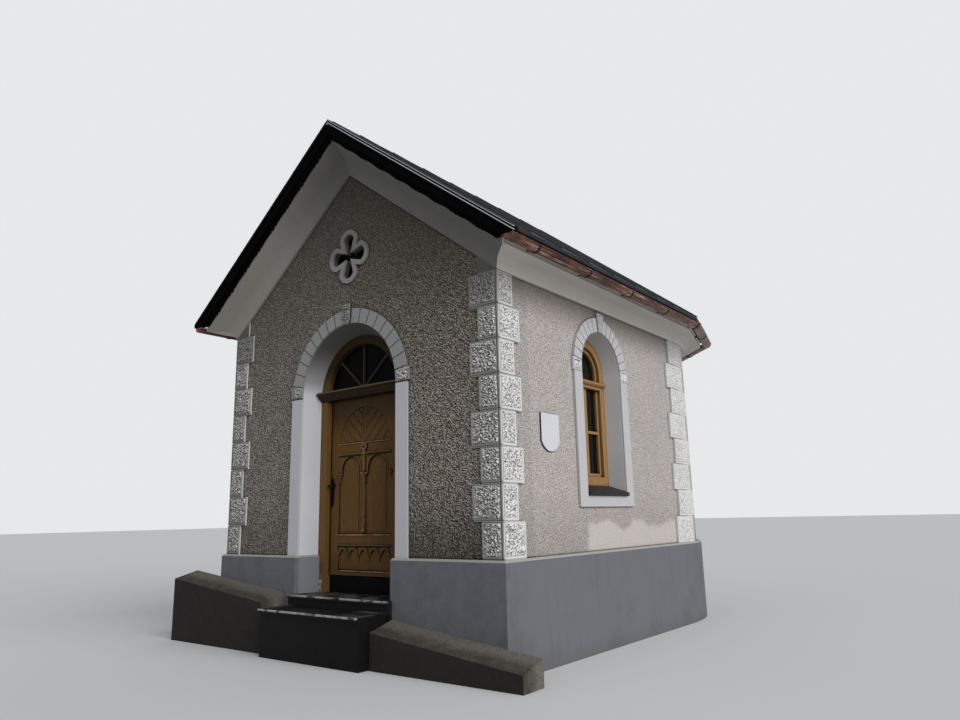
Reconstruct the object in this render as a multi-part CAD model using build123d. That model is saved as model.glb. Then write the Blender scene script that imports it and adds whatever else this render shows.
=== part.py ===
from build123d import *
from math import atan2, ceil, cos, degrees, radians, sin, tan
import os

# Small chapel: a gabled nave with a semicircular apse, in millimetres.
# The front faces -Y. The origin is on the ground under the centre of the apse circle.

# Main sizes of the walls
half_width = 2100.0
nave_length = 4010.0
wall_thickness = 500.0
relief = 25.0
plinth_height = 1000.0
plinth_relief = 40.0
plinth_lining = 25.0
plinth_chamfer = 20.0
block_height = 340.0
blocks_high = 8
roof_pitch = 37.9
apse_facets = 6

# Corner blocks
block_narrow = 245.0
block_wide = 350.0
block_joint = 9.0
rear_corner_arc = 125.0

# Floor, steps and footing
floor_level = 770.0
floor_thickness = 80.0
upper_step_level = 595.0
upper_step_reach = 115.0
lower_step_level = 485.0
lower_step_reach = 500.0
lower_step_inset = 15.0
step_thickness = 35.0
step_nosing = 20.0
step_chamfer = 5.0
footing_width = 300.0
footing_left_reach = 560.0
footing_right_reach = 400.0
footing_high = 735.0
footing_low = 190.0
footing_fall = 80.0
footing_gap_left = 150.0
footing_gap_right = 0.0

# Door opening, frame and leaf
door_half = 770.0
door_spring = 2787.0
door_splay = 95.0
door_recess = 227.0
post_width = 113.0
arch_band = 105.0
stop_depth = 63.0
rebate = 20.0
running_gap = 5.0
side_gap = 8.0
leaf_thickness = 50.0
leaf_bottom = 783.0
cornice_height = 98.0
cornice_reach = 85.0
rail_height = 90.0
rail_drop = 28.0
threshold_top = 775.0
threshold_setback = 12.0

# Door hinges
hinge_count = 3
hinge_height = 110.0
hinge_plate = 58.0
hinge_plate_thickness = 3.0
knuckle_radius = 8.7
pin_radius = 4.0
close_fit = 0.3
hinge_inset = 240.0

# Door handle
handle_edge = 41.0
handle_level = 1765.0
handle_width = 70.0
handle_height = 330.0
handle_drop = 72.0
handle_thickness = 6.0
lever_reach = 58.0
lever_length = 115.0

# Carved door leaf
panel_recess = 12.0
leaf_stile = 148.0
sun_radius = 402.0
sun_level = 2240.0
sun_rib = 46.0
board_width = 97.0
board_groove = 11.0
boards_per_side = 7
arch_panel_base = 1224.0
arch_panel_top = 2107.0
arch_spring = 1937.0
arch_radius = 151.0
arch_centre = 213.0
arch_foot = 1882.0
column_radius = 21.0
column_capital = 1905.0
column_base = 1262.0
frieze_top = 1099.0
frieze_bottom = 835.0
frieze_arches = 5
frieze_spring = 1015.0
frieze_radius = 70.0
frieze_inner_radius = 47.0
pendant_length = 78.0
moulding_rise = 6.0

# Fanlight and glass
bar_width = 20.0
bar_depth = 24.0
spoke_angle = 48.0
glass_thickness = 6.0

# Dressings round the openings
surround_width = 165.0
keystone_relief = 45.0
keystone_rise = 60.0
keystone_top_width = 155.0
impost_height = 145.0
impost_extra = 22.0
score_width = 8.0
score_depth = 8.0
door_voussoirs = 8
window_voussoirs = 7

# Side windows
window_centre = 1970.0
window_half = 450.0
window_head_gap = 41.0
window_rise = 580.0
window_sill_band = 115.0
window_splay = 50.0
window_recess = 205.0
sash_depth = 70.0
window_stile = 95.0
sash_width = 42.0
window_rail = 80.0
window_rail_drop = 134.0
glazing_bar = 30.0
sill_fall = 125.0
sill_thickness = 38.0
sill_nosing = 28.0

# Cross-shaped opening in the gable
cross_level = 4360.0
cross_reach = 268.0
cross_shoulder = 208.0
cross_flare = 88.0
cross_waist = 27.0
cross_border_width = 56.0
cross_pane_depth = 60.0

# Roof, soffit and trims
roof_over_rake = 571.0
roof_thickness = 136.0
deck_thickness = 34.0
verge_overhang = 340.0
side_overhang = 280.0
eave_overhang = 120.0
cove_radius = 110.0
cove_lip = 5.0
board_thickness = 68.0
board_drop = 198.0
fascia_thickness = 40.0
fascia_drop = 120.0
lobe_period = 340.0
lobe_depth = 36.0
lobe_nick = 3.0
trim_height = 46.0
trim_reach = 14.0
ridge_cap_width = 150.0
ridge_cap_thickness = 12.0

# Gutter
gutter_radius = 62.0
gutter_wall = 4.0
gutter_gap = 30.0
gutter_drop = 15.0
bead_radius = 8.0
bracket_pitch = 966.0
bracket_start = 455.0
bracket_width = 26.0
bracket_thickness = 6.0

# Wall plaque
plaque_width = 330.0
plaque_height = 385.0
plaque_thickness = 20.0
plaque_centre = 855.0
plaque_top = 2395.0

# Values that follow from the sizes above
slope = tan(radians(roof_pitch))
facet_angle = 180.0 / apse_facets
facet_scale = cos(radians(facet_angle / 2))
outer_half = half_width + relief
inner_half = half_width - wall_thickness
front = -nave_length
front_face = front - relief
plinth_half = outer_half + plinth_relief
plinth_front = front_face - plinth_relief
inner_front = front + wall_thickness
eave_level = plinth_height + blocks_high * block_height
window_spring = eave_level - window_head_gap - keystone_rise - surround_width - window_half
window_bottom = plinth_height + window_rise
window_rail_level = window_spring - window_rail_drop
lower_step_half = door_half - lower_step_inset
fascia_half = outer_half + cove_lip + side_overhang
roof_edge = fascia_half + eave_overhang
board_front = front_face - verge_overhang
board_back = board_front + board_thickness
frame_front = front_face + door_recess
frame_depth = stop_depth + running_gap + leaf_thickness
frame_back = frame_front + frame_depth
frame_half = door_half - door_splay
leaf_opening = frame_half - post_width
leaf_half = leaf_opening + rebate - side_gap
leaf_front = frame_front + stop_depth + running_gap
leaf_back = leaf_front + leaf_thickness
rail_bottom = door_spring - rail_drop
leaf_top = rail_bottom - running_gap
gutter_centre = fascia_half + gutter_gap + gutter_radius
chord_centre = fascia_half * facet_scale + gutter_gap + gutter_radius
tall = 9000.0


def rake(x):
    """Level of the top of the wall face under the sloping soffit, at distance x from the middle."""
    return eave_level + (outer_half - abs(x)) * slope


roof_lift = roof_thickness / cos(radians(roof_pitch))
deck_lift = deck_thickness / cos(radians(roof_pitch))


def roof_top(x):
    return rake(x) + roof_over_rake


def roof_underside(x):
    return roof_top(x) - roof_lift


gutter_level = roof_underside(fascia_half) - gutter_drop


def box(x0, x1, y0, y1, z0, z1):
    """A block between two corners."""
    return Pos((x0 + x1) / 2, (y0 + y1) / 2, (z0 + z1) / 2) * Box(x1 - x0, y1 - y0, z1 - z0)


def outline(*points):
    """A flat face with straight edges."""
    return make_face(Polyline(*points, close=True))


def from_front(face, y_back, depth):
    """A face drawn in X and Z, extruded forwards from y_back."""
    return extrude(Plane.XZ.offset(-y_back) * face, depth)


def from_side(face, x_start, depth):
    """A face drawn in Y and Z, extruded towards +X from x_start."""
    return extrude(Plane.YZ.offset(x_start) * face, depth)


def both(shape):
    """The shape and its mirror image across the middle plane, as one."""
    return shape + mirror(shape, about=Plane.YZ)


def other_side(shape):
    return mirror(shape, about=Plane.YZ)


def wedge(index):
    """The vertical slice of the apse that holds one roof facet."""
    reach = 2 * tall
    start = radians(index * facet_angle)
    end = radians((index + 1) * facet_angle)
    face = outline((0, 0), (reach * cos(start), reach * sin(start)), (reach * cos(end), reach * sin(end)))
    return extrude(face, tall)


def facet_ring(section):
    """A section drawn at the middle of a chord of the apse polygon, carried round along its chords."""
    parts = []
    for index in range(apse_facets):
        middle = (index + 0.5) * facet_angle
        run = extrude(Plane.XZ * section, tall / 2, both=True)
        parts.append((Rot(0, 0, middle) * run) & wedge(index))
    return Part() + parts


# The space under the roof, which the walls and the soffits fill from below

def under_nave_roof(y0, y1):
    face = outline(
        (-fascia_half, 0),
        (fascia_half, 0),
        (fascia_half, roof_underside(fascia_half)),
        (0, roof_underside(0)),
        (-fascia_half, roof_underside(fascia_half)),
    )
    return from_front(face, y1, y1 - y0)


def at_chord(face):
    """A section with straight edges, narrowed from the polygon's corners to the middle of its chords."""
    return scale(face, by=(facet_scale, 1, 1))


def under_apse_roof():
    face = outline((0, 0), (fascia_half, 0), (fascia_half, roof_underside(fascia_half)), (0, roof_underside(0)))
    return facet_ring(at_chord(face))


apse_cover = under_apse_roof()


# Floor, steps and footing

def ring_sector(r_in, r_out, a0, a1, z0, z1):
    """Part of a round wall between two angles."""
    profile = outline((r_in, z0), (r_out, z0), (r_out, z1), (r_in, z1))
    return Rot(0, 0, a0) * revolve(Plane.XZ * profile, Axis.Z, a1 - a0)


def make_floor():
    room = box(-inner_half, inner_half, inner_front, 0, 0, floor_level)
    room += ring_sector(0, inner_half, 0, 180, 0, floor_level)
    cut = floor_level - floor_thickness
    base = room & box(-half_width, half_width, front, half_width, 0, cut)
    slab = room - box(-half_width, half_width, front, half_width, 0, cut)
    return base, slab


def doorway_plan():
    """Right half of the passage between the plinths, seen from above."""
    return outline((0, plinth_front), (door_half - plinth_lining, plinth_front),
                   (frame_half - plinth_lining, frame_front), (frame_half, frame_front),
                   (frame_half, inner_front), (0, inner_front))


def make_steps():
    """Two stone slabs on their dark risers, the upper one running in between the reveals."""
    edge = front_face - upper_step_reach
    low = upper_step_level - step_thickness
    slab = box(-door_half, door_half, edge, plinth_front, low, upper_step_level)
    slab = chamfer(slab.edges().filter_by(Axis.X).group_by(Axis.Z)[-1].sort_by(Axis.Y)[0], step_chamfer)
    riser = box(-door_half, door_half, edge + step_nosing, plinth_front, 0, low)
    inside = extrude(both(doorway_plan()), upper_step_level)
    upper = slab + riser + inside
    back = edge + step_nosing
    edge = front_face - lower_step_reach
    low = lower_step_level - step_thickness
    slab = box(-lower_step_half, lower_step_half, edge, back, low, lower_step_level)
    slab = chamfer(slab.edges().filter_by(Axis.X).group_by(Axis.Z)[-1].sort_by(Axis.Y)[0], step_chamfer)
    lower = slab + box(-lower_step_half, lower_step_half, edge + 2 * step_nosing, back, 0, low)
    return upper, lower


def footing_top(x):
    """Level of the footing against the wall, which falls from left to right."""
    share = (x + outer_half) / (2 * outer_half)
    return footing_high + (footing_low + 80 - footing_high) * share


def make_footing(x0, x1):
    """A sloping concrete footing along the front, with its top falling away from the wall."""
    ends = []
    for x in (x0, x1):
        level = footing_top(x)
        edge = plinth_front - footing_width
        section = outline((plinth_front, 0), (plinth_front, level), (edge, level - footing_fall), (edge, 0))
        ends.append(Plane.YZ.offset(x) * section)
    return loft(ends, ruled=True)


# Plinth and walls

def door_cutter():
    """The splayed arched recess, then the straight arched opening behind it."""
    def arch(half, y):
        face = make_face([
            Line((-half, 0), (half, 0)),
            Line((half, 0), (half, door_spring)),
            ThreePointArc((half, door_spring), (0, door_spring + half), (-half, door_spring)),
            Line((-half, door_spring), (-half, 0)),
        ])
        return Plane.XZ.offset(-y) * face
    splayed = loft([arch(door_half, front_face), arch(frame_half, frame_front)], ruled=True)
    straight = extrude(arch(frame_half, inner_front + 1), inner_front + 1 - frame_front)
    return splayed + straight


def window_arch(half, bottom, centre):
    """Arched outline in Y and Z."""
    return make_face([
        Line((centre - half, bottom), (centre + half, bottom)),
        Line((centre + half, bottom), (centre + half, window_spring)),
        ThreePointArc((centre + half, window_spring), (centre, window_spring + half), (centre - half, window_spring)),
        Line((centre - half, window_spring), (centre - half, bottom)),
    ])


window_y = front + window_centre
sash_front = outer_half - window_recess
sash_half = window_half - window_splay


def window_cutter():
    outer = Plane.YZ.offset(outer_half) * window_arch(window_half, window_bottom, window_y)
    inner = Plane.YZ.offset(sash_front) * window_arch(sash_half, window_bottom, window_y)
    straight = from_side(window_arch(sash_half, window_bottom, window_y), inner_half - 1, sash_front - inner_half + 1)
    return loft([outer, inner], ruled=True) + straight


def cross_face():
    """Four flared arms with curved ends."""
    arm = make_face([
        Line((-cross_waist, 0), (-cross_flare, cross_shoulder)),
        ThreePointArc((-cross_flare, cross_shoulder), (0, cross_reach), (cross_flare, cross_shoulder)),
        Line((cross_flare, cross_shoulder), (cross_waist, 0)),
        Line((cross_waist, 0), (-cross_waist, 0)),
    ])
    arms = Sketch() + [Rot(0, 0, turn) * arm for turn in (0, 90, 180, 270)]
    return Pos(0, cross_level) * arms


def make_plinths():
    """Painted plinth that stands out from the walls and lines the foot of the doorway."""
    plan = outline((door_half - plinth_lining, plinth_front), (plinth_half, plinth_front), (plinth_half, inner_front),
                   (frame_half, inner_front), (frame_half, frame_front), (frame_half - plinth_lining, frame_front))
    front_right = extrude(plan, plinth_height)
    rim = [edge for edge in front_right.edges().group_by(Axis.Z)[-1]
           if edge.center().Y < frame_front - 1 or edge.center().X > plinth_half - 1]
    front_right = chamfer(rim, plinth_chamfer)
    side = box(inner_half, plinth_half, inner_front, 0, 0, plinth_height)
    side = chamfer(side.edges().filter_by(Axis.Y).group_by(Axis.Z)[-1].sort_by(Axis.X)[-1], plinth_chamfer)
    profile = outline((inner_half, 0), (plinth_half, 0), (plinth_half, plinth_height - plinth_chamfer),
                      (plinth_half - plinth_chamfer, plinth_height), (inner_half, plinth_height))
    apse = revolve(Plane.XZ * profile, Axis.Z, 180)
    return front_right, side, apse


def make_walls():
    opening = door_cutter()
    cover = under_nave_roof(front, 0)
    front_right = box(frame_half - 1, half_width, front, inner_front, plinth_height, door_spring) - opening
    gable = box(-half_width, half_width, front, inner_front, door_spring, tall) - opening
    gable -= from_front(cross_face(), inner_front + 1, wall_thickness + 2)
    gable &= cover
    side = box(inner_half, half_width, inner_front, 0, plinth_height, tall) - window_cutter()
    side &= cover
    segments = []
    step = 45.0
    for index in range(4):
        part = ring_sector(inner_half, half_width, index * step, (index + 1) * step, plinth_height, tall - 1)
        segments.append(part & apse_cover)
    return front_right, gable, side, segments


# Corner blocks

def block_levels(index):
    return plinth_height + index * block_height, plinth_height + (index + 1) * block_height


def joint_grooves(levels, shape_box):
    """Thin slots at the joints between blocks."""
    slots = []
    for level in levels:
        slots.append(box(*shape_box, level - block_joint / 2, level + block_joint / 2))
    return slots


def make_front_quoins():
    """The right front corner: blocks that change sides, wide on one face and narrow on the other."""
    blocks = []
    for index in range(blocks_high + 1):
        z0, z1 = block_levels(index)
        bottom_kind = index % 2 == 0
        face_width = block_narrow if bottom_kind else block_wide
        return_width = block_wide if bottom_kind else block_narrow
        block = box(outer_half - face_width, outer_half, front_face, front, z0, z1)
        if index < blocks_high:
            block += box(half_width, outer_half, front_face, front_face + return_width, z0, z1)
        else:
            limit = outline((0, 0), (outer_half, 0), (outer_half, rake(outer_half)), (0, rake(0)))
            block = (block & from_front(limit, front, relief)) - corner_wedge()
        blocks.append(block)
    stack = Part() + blocks
    core_slots = []
    for index in range(1, blocks_high + 1):
        level = block_levels(index)[0]
        low = level - block_joint / 2
        high = level + block_joint / 2
        core_slots.append(box(outer_half - block_wide - 1, outer_half + 1, front_face - 1, front_face + block_joint,
                              low, high))
        core_slots.append(box(outer_half - block_joint, outer_half + 1, front_face - 1,
                              front_face + block_wide + 1, low, high))
    return stack - core_slots


def make_rear_quoins():
    """The rear corner on the right, bent round the start of the apse."""
    blocks = []
    slots = []
    for index in range(blocks_high):
        z0, z1 = block_levels(index)
        bottom_kind = index % 2 == 0
        before = block_wide if bottom_kind else block_narrow
        after = block_narrow if bottom_kind else block_wide
        turn = degrees((rear_corner_arc + after) / outer_half)
        blocks.append(box(half_width, outer_half, -(before - rear_corner_arc), 0, z0, z1))
        blocks.append(ring_sector(half_width, outer_half, 0, turn, z0, z1))
        if index > 0:
            low = z0 - block_joint / 2
            high = z0 + block_joint / 2
            reach = degrees((rear_corner_arc + block_wide + 5) / outer_half)
            slots.append(box(outer_half - block_joint, outer_half + 1, -block_wide, 0, low, high))
            slots.append(ring_sector(outer_half - block_joint, outer_half + 1, 0, reach, low, high))
    return Part() + blocks - slots


# Surrounds with impost blocks, voussoirs and a keystone

def ring_face(r_in, r_out, spring):
    """Upper half of a flat ring."""
    whole = Circle(r_out) - Circle(r_in)
    half = whole & Pos(0, r_out) * Rectangle(4 * r_out, 2 * r_out)
    return Pos(0, spring) * half


def surround_solids(half, bottom, spring, impost_level, voussoirs, sill_band):
    """Raised band round an arched opening, drawn in its own X and Z with its back at Y zero."""
    outer = half + surround_width
    band = ring_face(half, outer, spring)
    jamb_height = spring - bottom
    for side in (-1, 1):
        band += Pos(side * (half + surround_width / 2), bottom + jamb_height / 2) * Rectangle(
            surround_width, jamb_height)
    if sill_band > 0:
        band += Pos(0, bottom - sill_band / 2) * Rectangle(2 * outer, sill_band)
    solid = extrude(Plane.XZ * band, relief)
    # Impost blocks stand a little wider than the band
    top = impost_level + impost_height
    for side in (-1, 1):
        block = Pos(side * (outer + impost_extra / 2 - 10), impost_level + impost_height / 2) * Rectangle(
            impost_extra + 20, impost_height)
        solid += extrude(Plane.XZ * block, relief)
    # Radial scores between the voussoirs
    start = degrees(atan2(top - spring, half + surround_width / 2))
    key_half = degrees(keystone_top_width / 2 / (outer + keystone_rise))
    step = (90 - key_half - start) / voussoirs
    scores = []
    for index in range(voussoirs):
        for side in (0, 1):
            angle = start + index * step
            angle = 180 - angle if side else angle
            slot = Pos(half + surround_width / 2, 0, 0) * Box(surround_width + 60, 2 * score_depth, score_width)
            slot = Pos(0, -relief, spring) * (Rot(0, -angle, 0) * slot)
            scores.append(slot)
    for side in (-1, 1):
        scores.append(box(side * (half + surround_width / 2) - surround_width / 2 - impost_extra - 5,
                          side * (half + surround_width / 2) + surround_width / 2 + impost_extra + 5,
                          -relief - score_depth, -relief + score_depth,
                          impost_level - score_width / 2, impost_level + score_width / 2))
    solid -= scores
    # Keystone, wider at the top
    key_bottom = keystone_top_width * (half - 10) / (outer + keystone_rise)
    key = outline(
        (-key_bottom / 2, spring + half - 4),
        (key_bottom / 2, spring + half - 4),
        (keystone_top_width / 2, spring + outer + keystone_rise),
        (-keystone_top_width / 2, spring + outer + keystone_rise),
    )
    key_solid = extrude(Plane.XZ * key, keystone_relief)
    key_solid = chamfer(key_solid.faces().sort_by(Axis.Y)[0].edges(), 8)
    return solid + key_solid


def make_door_surround():
    solid = surround_solids(door_half, plinth_height, door_spring, door_spring, door_voussoirs, 0)
    return Pos(0, front, 0) * solid


def make_window_surround():
    solid = surround_solids(window_half, window_bottom, window_spring, window_spring - impost_height / 2,
                            window_voussoirs, window_sill_band)
    return Pos(half_width, window_y, 0) * (Rot(0, 0, 90) * solid)


def make_cross_parts():
    opening = cross_face()
    border = offset(opening, cross_border_width, kind=Kind.ARC) - opening
    border_solid = from_front(border, front, relief)
    pane_solid = from_front(opening, front + cross_pane_depth + glass_thickness, glass_thickness)
    return border_solid, pane_solid


# Door frame, fanlight and leaf

def arch_face(half, bottom, spring):
    return make_face([
        Line((-half, bottom), (half, bottom)),
        Line((half, bottom), (half, spring)),
        ThreePointArc((half, spring), (0, spring + half), (-half, spring)),
        Line((-half, spring), (-half, bottom)),
    ])


def light_face():
    """The glazed opening over the rail, a little less than a half circle."""
    level = rail_bottom + rail_height
    disc = Pos(0, door_spring) * Circle(frame_half - arch_band)
    return disc & Pos(0, level + tall / 2) * Rectangle(tall, tall)


def make_door_frame():
    outer = arch_face(frame_half, upper_step_level, door_spring)
    frame = from_front(outer, frame_back, frame_depth)
    doorway = box(-leaf_opening, leaf_opening, frame_front - 1, frame_back + 1, 0, rail_bottom)
    leaf_space = box(-leaf_opening - rebate, leaf_opening + rebate, frame_front + stop_depth, frame_back + 1,
                     threshold_top, rail_bottom)
    frame -= doorway
    frame -= leaf_space
    frame -= from_front(light_face(), frame_back + 1, frame_depth + 2)
    # Moulded cornice on the rail over the leaf
    top = rail_bottom + rail_height
    y = frame_front
    section = make_face([
        Line((y, top), (y - cornice_reach, top)),
        Line((y - cornice_reach, top), (y - cornice_reach, top - 30)),
        ThreePointArc((y - cornice_reach, top - 30), (y - cornice_reach + 26, top - 44),
                      (y - cornice_reach + 36, top - 70)),
        Line((y - cornice_reach + 36, top - 70), (y - cornice_reach + 50, top - 70)),
        Line((y - cornice_reach + 50, top - 70), (y - 14, top - cornice_height)),
        Line((y - 14, top - cornice_height), (y, top - cornice_height)),
        Line((y, top - cornice_height), (y, top)),
    ])
    cornice = from_side(section, -frame_half + 4, 2 * frame_half - 8)
    return frame + cornice


def make_fanlight():
    light_radius = frame_half - arch_band
    hub = rail_bottom + rail_height
    sheet = light_face()
    bars = Sketch()
    for turn in (-spoke_angle, 0, spoke_angle):
        bar = Pos(0, light_radius / 2) * Rectangle(bar_width, light_radius * 1.2)
        bars += Pos(0, hub) * (Rot(0, 0, turn) * bar)
    bars += Pos(0, hub) * Circle(bar_width * 1.3)
    bars = bars & sheet
    glass_back = frame_front + stop_depth + glass_thickness
    bars_solid = from_front(bars, frame_front + stop_depth, bar_depth)
    glass = from_front(sheet, glass_back, glass_thickness)
    return bars_solid, glass


def on_leaf(face, rise):
    """A drawing raised on the leaf by rise, or sunk into it where rise is negative."""
    if rise < 0:
        return from_front(face, leaf_front - rise, -rise)
    return from_front(face, leaf_front + 1, rise + 1)


def make_leaf():
    """Carved leaf: half-round boarded panel, two arched panels beside a small column, and a frieze."""
    body = box(-leaf_half, leaf_half, leaf_front, leaf_back, leaf_bottom, leaf_top)
    cut_back = leaf_front + panel_recess
    panel_half = leaf_opening - leaf_stile
    # Half-round panel: a rib in the middle and boards slanting down towards it from each side
    half_plane = Pos(0, sun_level + sun_radius / 2) * Rectangle(4 * sun_radius, sun_radius)
    sun = half_plane & Pos(0, sun_level) * Circle(sun_radius)
    body -= on_leaf(sun, -panel_recess)
    body += from_front(Pos(0, sun_level + sun_radius / 2) * Rectangle(sun_rib, sun_radius) & sun, cut_back,
                       panel_recess * 0.8)
    margin = board_groove / 2 + 4
    quarter = Pos(0, sun_level) * Circle(sun_radius - margin)
    quarter &= Pos(sun_rib / 2 + margin + sun_radius / 2, sun_level + margin + sun_radius / 2) * Rectangle(
        sun_radius, sun_radius)
    slats = Sketch()
    for index in range(boards_per_side):
        across = (index - boards_per_side / 2) * board_width
        slat = Pos(0, across) * Rectangle(4 * sun_radius, board_width - board_groove)
        slats += Pos(sun_radius / 2, sun_level + sun_radius / 2) * (Rot(0, 0, 45) * slat)
    body += both(from_front(slats & quarter, cut_back, panel_recess * 0.8))
    # Arched panels: one sunk field, with an arcade board over its head
    field = Pos(0, (arch_panel_base + arch_panel_top) / 2) * Rectangle(2 * panel_half,
                                                                       arch_panel_top - arch_panel_base)
    body -= on_leaf(field, -panel_recess)
    arcade = Pos(0, (arch_foot + arch_panel_top) / 2) * Rectangle(2 * panel_half, arch_panel_top - arch_foot)
    for side in (-1, 1):
        arcade -= Pos(side * arch_centre, arch_spring) * Circle(arch_radius)
        arcade -= Pos(side * arch_centre, (arch_foot + arch_spring) / 2) * Rectangle(2 * arch_radius,
                                                                                  arch_spring - arch_foot + 2)
    body += from_front(arcade, cut_back, panel_recess)
    raised = arch_radius - 30
    for side in (-1, 1):
        inner = Pos(side * arch_centre, 0) * arch_face(raised, arch_panel_base + 36, arch_spring)
        body += from_front(inner, cut_back, panel_recess * 0.45)
        rim = Circle(arch_radius + 20) - Circle(arch_radius)
        rim = rim & Pos(0, arch_radius) * Rectangle(4 * arch_radius, 2 * arch_radius)
        body += on_leaf(Pos(side * arch_centre, arch_spring) * rim, moulding_rise)
    # Column between the panels, and half of its capital as a corbel at the outer foot of each arch
    r = column_radius
    top = column_capital
    low = column_base
    capital = [(r - 3, top - 130), (r + 10, top - 118), (r + 10, top - 106), (r, top - 94), (r + 4, top - 70),
               (r + 20, top - 40), (r + 20, top - 28), (r + 32, top - 24), (r + 32, top - 6), (0, top - 6)]
    profile = outline(
        (0, low - 10), (r + 12, low - 10), (r + 12, low + 8), (r + 3, low + 20), (r + 3, low + 50),
        (r + 10, low + 60), (r + 10, low + 72), (r, low + 84), (r, low + 150), (r + 8, low + 160),
        (r + 8, low + 172), (r, low + 182), *capital,
    )
    turned = revolve(Plane.XZ * profile, Axis.Z, 360)
    corbel = revolve(Plane.XZ * outline((0, top - 110), (8, top - 104), (r, top - 70), (r + 12, top - 40),
                                        (r + 12, top - 28), (r + 22, top - 24), (r + 22, top - 6), (0, top - 6)),
                     Axis.Z, 360)
    carved = Pos(0, cut_back, 0) * turned
    for side in (-1, 1):
        carved += Pos(side * (panel_half - 4), cut_back, 0) * corbel
    body += carved & box(-panel_half - 30, panel_half + 30, leaf_front - 36, cut_back + 1, leaf_bottom, leaf_top)
    # Mouldings between the panels
    for level, drop, reach in ((sun_level, 16, 8), (arch_panel_top + 16, 20, 12), (arch_panel_base, 14, 8),
                               (frieze_top + 14, 18, 12), (frieze_bottom, 14, 8)):
        strip = Pos(0, level - drop / 2) * Rectangle(2 * panel_half + 8, drop)
        body += on_leaf(strip, reach)
    boss_level = (sun_level + arch_panel_top) / 2
    ring = Pos(0, boss_level + 14) * (Circle(46) - Circle(24))
    stem = Pos(0, boss_level - 42) * Rectangle(44, 66)
    body += on_leaf(ring + stem, 16)
    post = Pos(0, (column_capital + boss_level) / 2 - 20) * Rectangle(36, boss_level - column_capital)
    body += on_leaf(post, 8)
    body += on_leaf(Pos(0, boss_level + 14) * Circle(13), 12)
    # Frieze of small round arches on hanging pendants, over the bottom panel
    bay = 2 * panel_half / frieze_arches
    field = Pos(0, (frieze_top + frieze_bottom) / 2) * Rectangle(2 * panel_half, frieze_top - frieze_bottom)
    body -= on_leaf(field, -panel_recess)
    rows = Pos(0, (frieze_top + frieze_spring) / 2) * Rectangle(2 * panel_half, frieze_top - frieze_spring)
    rims = Sketch()
    for index in range(frieze_arches):
        centre = -panel_half + (index + 0.5) * bay
        rows -= Pos(centre, frieze_spring) * Circle(frieze_inner_radius)
        rim = Circle(frieze_radius) - Circle(frieze_inner_radius)
        rims += Pos(centre, frieze_spring) * (rim & Pos(0, bay) * Rectangle(2 * bay, 2 * bay))
    body += from_front(rows, cut_back, panel_recess * 0.6)
    body += from_front(rims, cut_back, panel_recess + moulding_rise)
    low = frieze_spring - pendant_length
    pendant = revolve(Plane.XZ * outline((0, low), (9, low + 4), (13, low + 14), (9, low + 26), (9, low + 34),
                                         (15, low + 42), (15, low + 50), (11, low + 56), (20, frieze_spring - 12),
                                         (22, frieze_spring), (0, frieze_spring)), Axis.Z, 360)
    row = Part()
    for index in range(frieze_arches + 1):
        row += Pos(-panel_half + index * bay, cut_back, 0) * pendant
    body += row & box(-panel_half, panel_half, leaf_front - 30, cut_back + 1, leaf_bottom, leaf_top)
    return body


# Hinges on the inner face, with their pins on the frame

hinge_x = leaf_half + side_gap / 2
hinge_y = leaf_back + knuckle_radius + close_fit
plate_gap = knuckle_radius + 1.3


def hinge_levels():
    first = leaf_bottom + hinge_inset
    last = leaf_top - hinge_inset
    return [first + (last - first) * index / (hinge_count - 1) for index in range(hinge_count)]


def knuckle(z0, z1, bore):
    """One barrel of a hinge about the pin line."""
    barrel = Cylinder(knuckle_radius, z1 - z0)
    if bore > 0:
        barrel -= Cylinder(bore, z1 - z0 + 2)
    return Pos(hinge_x, hinge_y, (z0 + z1) / 2) * barrel


def make_hinges():
    """Frame side with two barrels and the pin, and leaf side with the barrel between them."""
    frame_side = []
    leaf_side = []
    back = leaf_back
    face = back + hinge_plate_thickness
    for level in hinge_levels():
        low = level - hinge_height / 2
        high = level + hinge_height / 2
        third = hinge_height / 3
        side = box(hinge_x + plate_gap, hinge_x + plate_gap + hinge_plate, back, face, low, high)
        for z0, z1 in ((low, low + third), (high - third, high)):
            side += knuckle(z0, z1, 0)
            side += box(hinge_x, hinge_x + plate_gap, back, face, z0, z1) - knuckle(z0, z1, 0)
        side += Pos(hinge_x, hinge_y, level) * Cylinder(pin_radius, hinge_height)
        frame_side.append(side)
        z0 = low + third + close_fit
        z1 = high - third - close_fit
        side = box(hinge_x - plate_gap - hinge_plate, hinge_x - plate_gap, back, face, low, high)
        side += box(hinge_x - plate_gap, hinge_x, back, face, z0, z1)
        side += knuckle(z0, z1, 0)
        side -= Pos(hinge_x, hinge_y, level) * Cylinder(pin_radius + close_fit, hinge_height + 2)
        leaf_side.append(side)
    return frame_side, leaf_side


handle_x = -(leaf_opening - handle_edge)


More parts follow.
